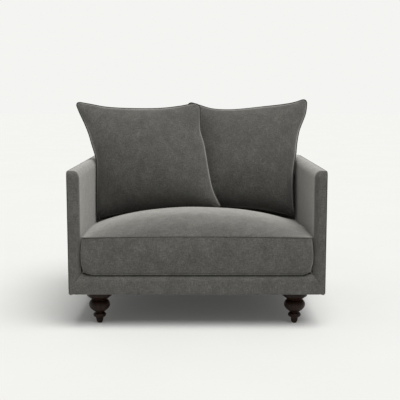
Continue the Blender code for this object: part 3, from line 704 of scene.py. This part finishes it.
def back_line():
    """Up the sloping inside back and level over the top to the outside back."""
    bottom, top = BACK_LOW.z, BACK_HIGH.z
    foot_y = BACK_LOW.y
    corner_y = foot_y + math.tan(RAKE) * (top - bottom)
    turn_from = math.pi - RAKE
    centre_y = corner_y + BACK_ROLL * math.tan((math.pi / 2 - RAKE) / 2)
    centre_z = top - BACK_ROLL

    def rolled(turn):
        return centre_y + BACK_ROLL * math.cos(turn), centre_z + BACK_ROLL * math.sin(turn)

    end_y, end_z = rolled(turn_from)
    line = [(foot_y + (end_y - foot_y) * i / 32, bottom + (end_z - bottom) * i / 32) for i in range(33)]
    line += [rolled(turn_from + (math.pi / 2 - turn_from) * i / 8) for i in range(1, 9)]
    line += [(centre_y + (PANEL_LOW.y - 0.001 - centre_y) * i / 6, top) for i in range(1, 7)]
    return line


front_line = back_line()
inside_back = swept(
    "inside_back_upholstery",
    front_line + list(reversed(inset_line(front_line, BACK_COVER_DEPTH))),
    BACK_LOW.x,
    BACK_HIGH.x,
    72,
)
settle(inside_back, "frame", "upholstery_fabric", "inside_back_cover", "back_padding")

panel = soft_block(
    Vector((PANEL_LOW.x, PANEL_LOW.y - 0.0015, PANEL_LOW.z)),
    Vector((PANEL_HIGH.x, PANEL_HIGH.y, PANEL_HIGH.z - 0.003)),
    0.018,
    lambda axis, end, shares: PANEL_EDGE,
)
for vertex in panel.verts:
    place = vertex.co
    if place.y > PANEL_HIGH.y - 0.0015:
        slack = crowned(place, PANEL_LOW, PANEL_HIGH, 1.0, 1)
        uneven = noise.noise(Vector((place.x * 4.0, 0.0, place.z * 5.0)))
        place.y += slack * (0.0022 + 0.0012 * uneven)
outside_back = piece("outside_back_upholstery", panel, CLOTH)
settle(outside_back, "frame", "upholstery_fabric", "outside_back_cover")

pipe_y, pipe_z = PANEL_HIGH.y - 0.0012, PANEL_HIGH.z - 0.0012
back_seam = tube(
    "outside_back_piping",
    [(PANEL_LOW.x + (PANEL_HIGH.x - PANEL_LOW.x) * i / 60, pipe_y, pipe_z) for i in range(61)],
    PIPE_RADIUS,
    PAINTED_SHADE_PIPING,
)
settle(back_seam, "frame", "upholstery_fabric")

# ---------------------------------------------------------------------------------------------
# Front rail and seat platform. Padded cloth runs up the front of the rail, rolls over its top edge
# and is mitred into the arms at each end; behind it a tight deck cloth lies over the springs.
# ---------------------------------------------------------------------------------------------

DECK_LOW, DECK_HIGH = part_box("seat_platform_cover")
RAIL_ROUNDING = 0.032
RAIL_COVER_DEPTH = 0.008
RAIL_FRONT_Y = DECK_LOW.y - 0.0002
ROLL_BACK = 0.060  # how far the padded cloth runs back over the rail
INNER_X = ARM_LOW.x
RAIL_END_X = INNER_X + ARM_INNER_ROLL - 0.002  # it runs into the roll of the arm
MITRE_RADIUS = 0.0013


def rail_line():
    """Up the face of the rail, over its rounded edge and back."""
    foot, top = DECK_LOW.z, DECK_HIGH.z
    line = [(RAIL_FRONT_Y + 0.0022, foot), (RAIL_FRONT_Y + 0.0005, foot + 0.0012)]
    face, roll = foot + 0.003, RAIL_ROUNDING
    line += [(RAIL_FRONT_Y, face + (top - roll - face) * i / 8) for i in range(9)]
    for i in range(1, 9):
        turn = math.pi - math.pi / 2 * i / 8
        line.append((RAIL_FRONT_Y + roll * (1 + math.cos(turn)), top - roll * (1 - math.sin(turn))))
    line += [(RAIL_FRONT_Y + roll + (ROLL_BACK - roll) * i / 4, top) for i in range(1, 5)]
    return line


def puckered(x, y, z):
    """The rail's cloth is drawn a little uneven along its top edge."""
    pull = 0.0007 * noise.noise(Vector((x * 16.0, 5.0, z * 20.0)))
    return Vector((0.0, -abs(pull) if y < RAIL_FRONT_Y + 0.004 else 0.0, 0.0))


face_line = rail_line()
rail_cover = swept(
    "front_rail_upholstery",
    face_line + list(reversed(inset_line(face_line, RAIL_COVER_DEPTH))),
    -RAIL_END_X,
    RAIL_END_X,
    88,
    puckered,
)
settle(rail_cover, "frame", "upholstery_fabric", "front_rail_padding", "seat_platform_cover")


def mitre_line(side):
    """Where the roll of the rail meets the roll of the arm."""
    line = []
    for i in range(17):
        share = i / 16
        depth = RAIL_ROUNDING * (1 - math.sqrt(1 - share ** 2))
        x = INNER_X + ARM_INNER_ROLL * (1 - share)
        line.append((side * x, RAIL_FRONT_Y + depth, DECK_HIGH.z - RAIL_ROUNDING * (1 - share)))
    return line


# These seams use the darker piping cloth, so they paint the shade in the crease where the two rolls meet.
for word, side in SIDES:
    seam = tube(f"rail_mitre_seam_{word}", mitre_line(side), MITRE_RADIUS, PAINTED_SHADE_PIPING)
    settle(seam, "frame", "upholstery_fabric")


def deck_cloth():
    made, tree, shader = new_material("woven_deck_cloth", 0.88)
    warp = scaled_noise(tree, (1.0, 0.08, 1.0), 700.0, 2.0)
    weft = scaled_noise(tree, (0.08, 1.0, 1.0), 700.0, 2.0)
    crossed = tree.nodes.new("ShaderNodeMath")
    crossed.operation = "MAXIMUM"
    tree.links.new(warp, crossed.inputs[0])
    tree.links.new(weft, crossed.inputs[1])
    yarns = crossed.outputs[0]
    coloured(tree, shader, yarns, (0.4, (0.012, 0.012, 0.013)), (0.75, (0.055, 0.055, 0.058)))
    bump(tree, shader, yarns, 0.4, 0.0005)
    return made


deck = padded_sheet(
    "seat_deck_cloth",
    Vector((-INNER_X + 0.001, RAIL_FRONT_Y + ROLL_BACK + 0.0005, DECK_HIGH.z - 0.0016)),
    Vector((INNER_X - 0.001, DECK_HIGH.y - 0.001, DECK_HIGH.z - 0.0001)),
    deck_cloth(),
    0.03,
    0.1,
)
settle(deck, "frame", "upholstery_fabric")

# ---------------------------------------------------------------------------------------------
# Seat cushion. A loose foam block in a boxed cover: a crowned top and a flat underside, each sewn
# to the border with a fine piped seam. The cover is drawn tight over the foam.
# ---------------------------------------------------------------------------------------------

SEAT_LOW, SEAT_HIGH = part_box("seat_cushion_cover")
SEAT_CORNER = 0.024
SEAM_Z = 0.3955
SEAM_RISE = 0.007  # the front seam is this much higher in its middle
SEAM_FALL = 0.020  # and the side seams fall by this much towards the back
CROWN = 0.0680
TOP_INSET = 0.0045  # the top seam is drawn in from the widest part of the border
FOOT_INSET = 0.0060  # and the bottom seam is drawn in further
FOOT_LIFT = 0.014  # the corners of the underside turn up
FOOT_LIFT_REACH = 0.055
BORDER_BULGE = 0.0045
BORDER_LEVELS = 15
PUCKER = 0.0011  # small gathers in the top, within a band along its seam
PUCKER_BAND = 0.045
SEAT_UNEVEN = 0.0035
SEAT_STEP = 0.0095
CORNER_STEPS = 4
SEAT_PIPE_RADIUS = 0.0018


def plan_steps(half, corner, step):
    """Places along one side of a rounded rectangle, closer together towards its corners."""
    inner = half - corner
    count = max(2, round(2 * inner / step))
    ends = [corner * math.tan(math.pi / 4 * i / CORNER_STEPS) for i in range(1, CORNER_STEPS + 1)]
    middle = [-inner + 2 * inner * i / count for i in range(count + 1)]
    return [-inner - e for e in reversed(ends)] + middle + [inner + e for e in ends]


def plan_place(x, y, half_x, half_y, corner):
    """A point of a rectangle moved on to the rectangle with round corners."""
    core_x = max(corner - half_x, min(half_x - corner, x))
    core_y = max(corner - half_y, min(half_y - corner, y))
    core = Vector((core_x, core_y))
    away = Vector((x, y)) - core
    if away.length < 1e-9:
        return core
    return core + away.normalized() * max(abs(away.x), abs(away.y))


def seat_shape():
    """The boxed cushion: its mesh, the points that stuffing leaves alone, and its two seams."""
    half_x, half_y = SEAT_HIGH.x, (SEAT_HIGH.y - SEAT_LOW.y) / 2
    middle_y = (SEAT_HIGH.y + SEAT_LOW.y) / 2
    xs, ys = plan_steps(half_x, SEAT_CORNER, SEAT_STEP), plan_steps(half_y, SEAT_CORNER, SEAT_STEP)
    builder = bmesh.new()

    def place(x, y, inset):
        flat = plan_place(x, y, half_x, half_y, SEAT_CORNER)
        return Vector((flat.x * (1 - inset / half_x), middle_y + flat.y * (1 - inset / half_y), 0.0))

    def seam_height(x, y):
        rise = SEAM_RISE * (1 - min(1.0, (x / half_x) ** 2))
        return SEAM_Z + rise - SEAM_FALL * (x / half_x) ** 2 * eased((y / half_y + 0.35) / 1.2)

    def foot_height(x, y):
        near_x = max(0.0, 1 - (half_x - abs(x)) / FOOT_LIFT_REACH)
        near_y = max(0.0, 1 - (half_y - abs(y)) / FOOT_LIFT_REACH)
        return SEAT_LOW.z + FOOT_LIFT * (near_x * near_y) ** 1.6

    top, under = {}, {}
    for i, x in enumerate(xs):
        for j, y in enumerate(ys):
            u, w = abs(x) / half_x, abs(y) / half_y
            spot = place(x, y, TOP_INSET)
            rise = (1 - u ** 2.3) * (1 - w ** 2.5)
            from_side, from_end = (1 - u) * half_x, (1 - w) * half_y
            near = min(1.0, min(from_side, from_end) / PUCKER_BAND)
            along = spot.x if from_end < from_side else spot.y
            gather = math.sin(near * math.pi) * noise.noise(Vector((along * 38.0, 2.0, near)))
            spot.z = seam_height(x, y) + CROWN * rise ** 0.9 + PUCKER * gather
            uneven = noise.noise(Vector((spot.x * 5.0, spot.y * 5.0, 7.0)))
            spot.z += SEAT_UNEVEN * uneven * rise ** 0.5
            top[i, j] = builder.verts.new(spot)
            base = place(x, y, FOOT_INSET)
            base.z = foot_height(x, y)
            under[i, j] = builder.verts.new(base)
    last_x, last_y = len(xs) - 1, len(ys) - 1
    for i in range(last_x):
        for j in range(last_y):
            builder.faces.new((top[i, j], top[i + 1, j], top[i + 1, j + 1], top[i, j + 1]))
            builder.faces.new((under[i, j], under[i, j + 1], under[i + 1, j + 1], under[i + 1, j]))
    rim = rim_of(last_x, last_y)
    rows = [[under[k] for k in rim]]
    for level in range(1, BORDER_LEVELS):
        share = level / BORDER_LEVELS
        row = []
        for k in rim:
            x, y = xs[k[0]], ys[k[1]]
            inset = FOOT_INSET * (1 - eased(share / 0.30))
            inset += TOP_INSET * eased((share - 0.55) / 0.45)
            facing_front = eased((-y / half_y - 0.93) / 0.07)
            inset -= BORDER_BULGE * facing_front * math.sin(math.pi * share)
            spot = place(x, y, inset)
            foot = foot_height(x, y)
            spot.z = foot + (seam_height(x, y) - foot) * share
            spot.y += 0.0010 * facing_front * noise.noise(Vector((spot.x * 13.0, spot.z * 12.0, 1.0)))
            row.append(builder.verts.new(spot))
        rows.append(row)
    rows.append([top[k] for k in rim])
    for lower, upper in zip(rows, rows[1:]):
        for i in range(len(rim)):
            m = (i + 1) % len(rim)
            builder.faces.new((lower[i], lower[m], upper[m], upper[i]))
    builder.verts.index_update()
    seams = [vertex.index for vertex in rows[0]], [vertex.index for vertex in rows[-1]]
    held = [vertex.index for vertex in under.values()] + seams[1]
    for row in rows[1:-1]:
        for vertex in row:
            spot = vertex.co
            if spot.y > SEAT_LOW.y + 0.05 or abs(spot.x) > half_x - SEAT_CORNER:
                held.append(vertex.index)
    bmesh.ops.recalc_face_normals(builder, faces=builder.faces)
    return builder, held, seams


STUFFING_PRESSURE = 4.0
STUFFING_FRAMES = 20
SEAT_SWELL = 0.010  # the most that a point of the seat cushion moves


def stuffed(made, held, most):
    """Blows the cloth out from inside, while the held points stay where they are."""
    scene = bpy.context.scene
    mesh = made.data
    start = np.empty(len(mesh.vertices) * 3, np.float32)
    mesh.vertices.foreach_get("co", start)
    start = start.reshape(-1, 3)
    made.vertex_groups.new(name="held").add(sorted(set(held)), 1.0, "REPLACE")
    cloth = made.modifiers.new("stuffing", "CLOTH")
    settings = cloth.settings
    settings.quality = 5
    settings.mass = 0.25
    settings.vertex_group_mass = "held"
    settings.tension_stiffness = 20.0
    settings.compression_stiffness = 12.0
    settings.shear_stiffness = 6.0
    settings.bending_stiffness = 1.5
    settings.use_pressure = True
    settings.uniform_pressure_force = STUFFING_PRESSURE
    settings.effector_weights.gravity = 0.0
    cloth.point_cache.frame_start = 1
    cloth.point_cache.frame_end = STUFFING_FRAMES
    for frame_number in range(1, STUFFING_FRAMES + 1):
        scene.frame_set(frame_number)
    blown = made.evaluated_get(bpy.context.evaluated_depsgraph_get()).to_mesh()
    end = np.empty(len(blown.vertices) * 3, np.float32)
    blown.vertices.foreach_get("co", end)
    end = end.reshape(-1, 3)
    moved = end - start
    length = np.linalg.norm(moved, axis=1, keepdims=True)
    moved *= np.tanh(length / most) * most / np.maximum(length, 1e-9)
    made.evaluated_get(bpy.context.evaluated_depsgraph_get()).to_mesh_clear()
    made.modifiers.remove(cloth)
    made.vertex_groups.clear()
    mesh.vertices.foreach_set("co", (start + moved).ravel())
    mesh.update()
    scene.frame_set(1)


def refine(made):
    """One round of subdivision, so that the cloth shows no facets."""
    finer = made.modifiers.new("finer", "SUBSURF")
    finer.levels = 1
    finer.render_levels = 1
    finer.boundary_smooth = "PRESERVE_CORNERS"


def seam_places(made, indices, lift):
    """The points of a seam after stuffing, raised a little from the cloth."""
    mesh = made.data
    return [mesh.vertices[i].co + mesh.vertices[i].normal * lift for i in indices]


seat_builder, seat_held, seat_seams = seat_shape()
seat = piece("seat_cushion", seat_builder, CLOTH)
stuffed(seat, seat_held, SEAT_SWELL)
for word, ring in zip(("lower", "upper"), seat_seams):
    line = seam_places(seat, ring, 0.0004)
    piping = tube(f"seat_cushion_{word}_piping", line, SEAT_PIPE_RADIUS, CLOTH, closed=True)
    settle(piping, "seat_cushion", "upholstery_fabric")
refine(seat)
settle(seat, "seat_cushion", "upholstery_fabric", "seat_cushion_cover", "seat_cushion_foam")

# ---------------------------------------------------------------------------------------------
# Back cushions. Two loose fibre-filled cushions, cut as soft squares with drawn-out corners and one
# piped seam all round. They lean on the back, and the left one laps over the edge of the right one.
# ---------------------------------------------------------------------------------------------

UP = Vector((0, math.sin(RAKE), math.cos(RAKE)))
OUT = Vector((0, -math.cos(RAKE), math.sin(RAKE)))
LEAN_FOOT = Vector((0, BACK_LOW.y - math.tan(RAKE) * (BACK_LOW.z - DECK_HIGH.z), DECK_HIGH.z))
BACK_TOP_UP = (BACK_HIGH.z - DECK_HIGH.z) / math.cos(RAKE)  # up the slope, where the back ends
THICKNESS = 0.236
FULLNESS = 0.52  # the smaller, the steeper a cushion rises from its seam
SEAM_HALF = 0.0035  # half the thickness left at the seam
SAG = 0.20  # the filling has settled: the belly sits this much lower
TUFT = 0.004  # how uneven the filling lies
CLEAR = 0.004
OVERHANG = 0.045  # above the top of the back, a cushion swells this far over it
LAP_OUT = 0.125  # how far out the two cushions meet on the centre line of the chair
LAP_SLOPE = 0.82
CORNER_SHARE = 0.045  # how much of a side the rounding of a corner takes
CUSHION_CELLS = 60
EVEN_CELLS = 0.55  # the rest of the spacing closes up towards the seam
LEANING_SHARE = 0.62  # behind, a cushion rests on the back up to here and keeps its shape
CUSHION_SWELL = 0.014
CUSHION_PIPE_RADIUS = PIPE_RADIUS + 0.0004


def leaning(x, up, out):
    return LEAN_FOOT + Vector((x, 0, 0)) + UP * up + OUT * out


def curve_through(points, share):
    """A smooth line through points, spaced by their distance, at a share of its length."""
    points = [Vector(p) for p in points]
    lengths = [0.0]
    for before, after in zip(points, points[1:]):
        lengths.append(lengths[-1] + (after - before).length)
    reach = share * lengths[-1]
    k = 0
    while k < len(points) - 2 and lengths[k + 1] < reach:
        k += 1
    t = (reach - lengths[k]) / (lengths[k + 1] - lengths[k])
    step = lengths[k + 1] - lengths[k]

    def slope(i):
        a, b = max(0, i - 1), min(len(points) - 1, i + 1)
        return (points[b] - points[a]) / (lengths[b] - lengths[a]) * step

    a, b, t2, t3 = points[k], points[k + 1], t * t, t * t * t
    blend = a * (2 * t3 - 3 * t2 + 1) + b * (3 * t2 - 2 * t3)
    return blend + slope(k) * (t3 - 2 * t2 + t) + slope(k + 1) * (t3 - t2)


def within(sides, s, t):
    """A point inside four side lines: s from left to right and t from bottom to top, 0 to 1."""
    bottom, top = curve_through(sides["bottom"], s), curve_through(sides["top"], s)
    left, right = curve_through(sides["left"], t), curve_through(sides["right"], t)
    corners = [Vector(sides["bottom"][0]), Vector(sides["bottom"][-1])]
    corners += [Vector(sides["top"][0]), Vector(sides["top"][-1])]
    flat = corners[0] * (1 - s) * (1 - t) + corners[1] * s * (1 - t)
    flat += corners[2] * (1 - s) * t + corners[3] * s * t
    return bottom * (1 - t) + top * t + left * (1 - s) + right * s - flat


def lap(x):
    """How far out from the back the surface between the two cushions lies."""
    return LAP_OUT + LAP_SLOPE * x


def half_thickness(u, w):
    """Full over the middle and a little below it, and falling steeply to the seam."""
    w += SAG * (1 - w ** 2)
    full = (1 - u ** 2) * (1 - w ** 2)
    return SEAM_HALF + (THICKNESS / 2 - SEAM_HALF) * max(0.0, full) ** FULLNESS


def behind_limit(up):
    """Cushions lie against the inside back, and swell over it where they stand above its top."""
    return CLEAR - OVERHANG * eased((up - BACK_TOP_UP - 0.015) / 0.10)


# Each line is (across, up the slope, out from the back), from its lower or left end.
LEFT_CUSHION = {
    "bottom": [(-0.490, 0.126, 0.180), (-0.420, 0.140, 0.176), (-0.250, 0.165, 0.172), (-0.050, 0.176, 0.186),
               (0.118, 0.170, 0.212)],
    "top": [(-0.606, 0.706, 0.184), (-0.540, 0.694, 0.185), (-0.446, 0.677, 0.186), (-0.320, 0.670, 0.188),
            (-0.185, 0.6705, 0.190), (-0.086, 0.681, 0.191), (-0.027, 0.692, 0.192), (0.014, 0.694, 0.192)],
    "left": [(-0.490, 0.126, 0.180), (-0.4950, 0.240, 0.183), (-0.4955, 0.400, 0.186), (-0.503, 0.439, 0.186),
             (-0.520, 0.492, 0.185), (-0.534, 0.539, 0.185), (-0.556, 0.594, 0.184), (-0.580, 0.644, 0.184),
             (-0.606, 0.706, 0.184)],
    "right": [(0.118, 0.170, 0.212), (0.078, 0.262, 0.210), (0.057, 0.362, 0.207), (0.036, 0.490, 0.203),
              (0.017, 0.555, 0.199), (0.0135, 0.620, 0.197), (0.014, 0.694, 0.192)],
}
RIGHT_CUSHION = {
    "bottom": [(-0.100, 0.176, 0.026), (0.080, 0.186, 0.084), (0.280, 0.178, 0.112), (0.410, 0.156, 0.114),
               (0.484, 0.136, 0.115)],
    "top": [(-0.048, 0.734, 0.060), (0.004, 0.714, 0.074), (0.063, 0.692, 0.090), (0.114, 0.683, 0.102),
            (0.190, 0.681, 0.112), (0.325, 0.694, 0.115), (0.472, 0.713, 0.115), (0.553, 0.738, 0.115)],
    "left": [(-0.100, 0.176, 0.026), (-0.090, 0.340, 0.026), (-0.060, 0.540, 0.038), (-0.048, 0.734, 0.060)],
    "right": [(0.484, 0.136, 0.115), (0.477, 0.220, 0.115), (0.477, 0.330, 0.115), (0.484, 0.400, 0.115),
              (0.4935, 0.455, 0.115), (0.4985, 0.506, 0.115), (0.512, 0.575, 0.115), (0.545, 0.664, 0.115),
              (0.553, 0.738, 0.115)],
}


def back_cushion(word, sides, front_limit, rear_limit):
    """A stuffed cushion between four seam lines and two limits, with its piping."""
    builder = bmesh.new()
    cells = CUSHION_CELLS
    spread = []
    for i in range(cells + 1):
        closer = 0.5 - 0.5 * math.cos(math.pi * i / cells)
        spread.append(EVEN_CELLS * i / cells + (1 - EVEN_CELLS) * closer)
    faces = {1: {}, -1: {}}
    for i, s in enumerate(spread):
        for j, t in enumerate(spread):
            flat = plan_place(2 * s - 1, 2 * t - 1, 1.0, 1.0, 2 * CORNER_SHARE)
            x, up, out = within(sides, (flat.x + 1) / 2, (flat.y + 1) / 2)
            half = half_thickness(2 * s - 1, 2 * t - 1)
            rim = i in (0, cells) or j in (0, cells)
            tuft = TUFT * noise.noise(Vector((x * 7.0, up * 7.0, 3.0)))
            front = min(out + half + tuft * (half > 0.02), front_limit(x))
            rear = max(out - half, rear_limit(x, up))
            front = max(front, rear + 2 * SEAM_HALF)
            if rim:
                seam = builder.verts.new(leaning(x, up, (max(out, rear_limit(x, up)) + out) / 2))
                faces[1][i, j] = faces[-1][i, j] = seam
            else:
                faces[1][i, j] = builder.verts.new(leaning(x, up, front))
                faces[-1][i, j] = builder.verts.new(leaning(x, up, rear))
    for side, grid in faces.items():
        for i in range(cells):
            for j in range(cells):
                ring = (grid[i, j], grid[i + 1, j], grid[i + 1, j + 1], grid[i, j + 1])
                builder.faces.new(ring if side > 0 else tuple(reversed(ring)))
    builder.verts.index_update()
    seam = [faces[1][k].index for k in rim_of(cells, cells)]
    held = seam + [v.index for k, v in faces[-1].items() if spread[k[1]] < LEANING_SHARE]
    bmesh.ops.recalc_face_normals(builder, faces=builder.faces)
    body = f"back_cushion_{word}"
    made = piece(body, builder, CLOTH)
    stuffed(made, held, CUSHION_SWELL)
    line = seam_places(made, seam, 0.0)
    piping = tube(f"{body}_piping", line, CUSHION_PIPE_RADIUS, PAINTED_SHADE_PIPING, closed=True)
    settle(piping, body, "upholstery_fabric")
    refine(made)
    stands_for = f"back_cushion_cover_{word}", f"back_cushion_filling_{word}"
    settle(made, body, "upholstery_fabric", *stands_for)


back_cushion(
    "left",
    LEFT_CUSHION,
    lambda x: 1.0,
    lambda x, up: max(behind_limit(up), lap(x) + CLEAR),
)
back_cushion("right", RIGHT_CUSHION, lambda x: lap(x) - CLEAR, lambda x, up: behind_limit(up))

# ---------------------------------------------------------------------------------------------
# Studio. A plain pale floor, a broad soft light from above, a little to the right and in front, and
# an even pale surround.
# ---------------------------------------------------------------------------------------------


def pale_floor():
    made, tree, shader = new_material("pale_floor", 0.85)
    wash = scaled_noise(tree, (1.0, 1.0, 1.0), 1.5, 2.0)
    coloured(tree, shader, wash, (0.2, (0.647, 0.647, 0.629)), (0.8, (0.666, 0.666, 0.648)))
    shader.inputs["Specular IOR Level"].default_value = 0.0
    # The floor glows faintly: painted light that lifts the shadows on it.
    shader.inputs["Emission Color"].default_value = (1.0, 1.0, 0.98, 1.0)
    shader.inputs["Emission Strength"].default_value = 0.042
    return made


FLOOR_SIZE = 40.0
LAMP_SPREAD = 50.0  # degrees
LAMP_FORWARD, LAMP_ASIDE = 18.0, 14.0  # degrees from straight overhead
SURROUND_LIGHT = 0.44
CAMERA_PLACE = (0.013, -3.817, 0.994)
CAMERA_DOWN = 7.42  # degrees below level

floor_builder = bmesh.new()
bmesh.ops.create_grid(floor_builder, x_segments=8, y_segments=8, size=FLOOR_SIZE)
floor = piece("floor", floor_builder, pale_floor())

lamp = bpy.data.lights.new("soft_overhead", "SUN")
lamp.energy = 3.0
lamp.angle = math.radians(LAMP_SPREAD)
overhead = bpy.data.objects.new("soft_overhead", lamp)
overhead.rotation_euler = (math.radians(LAMP_FORWARD), math.radians(LAMP_ASIDE), 0.0)
bpy.context.scene.collection.objects.link(overhead)

world = bpy.data.worlds.new("pale_surround")
bpy.context.scene.world = world
world.use_nodes = True
surround = world.node_tree
backdrop = surround.nodes["Background"]
backdrop.inputs["Color"].default_value = (0.905, 0.905, 0.885, 1.0)
backdrop.inputs["Strength"].default_value = 1.0
dim = surround.nodes.new("ShaderNodeBackground")
dim.inputs["Color"].default_value = (1.0, 1.0, 1.0, 1.0)
dim.inputs["Strength"].default_value = SURROUND_LIGHT
path = surround.nodes.new("ShaderNodeLightPath")
either = surround.nodes.new("ShaderNodeMixShader")
surround.links.new(path.outputs["Is Camera Ray"], either.inputs["Fac"])
surround.links.new(dim.outputs["Background"], either.inputs[1])
surround.links.new(backdrop.outputs["Background"], either.inputs[2])
surround.links.new(either.outputs["Shader"], surround.nodes["World Output"].inputs["Surface"])
bpy.context.scene.view_settings.view_transform = "Standard"

lens = bpy.data.cameras.new("camera")
lens.lens = 72.0
lens.sensor_width = 36.0
camera = bpy.data.objects.new("camera", lens)
camera.location = CAMERA_PLACE
camera.rotation_euler = (math.radians(90.0 - CAMERA_DOWN), 0.0, 0.0)
bpy.context.scene.collection.objects.link(camera)
bpy.context.scene.camera = camera

bpy.context.view_layer.update()
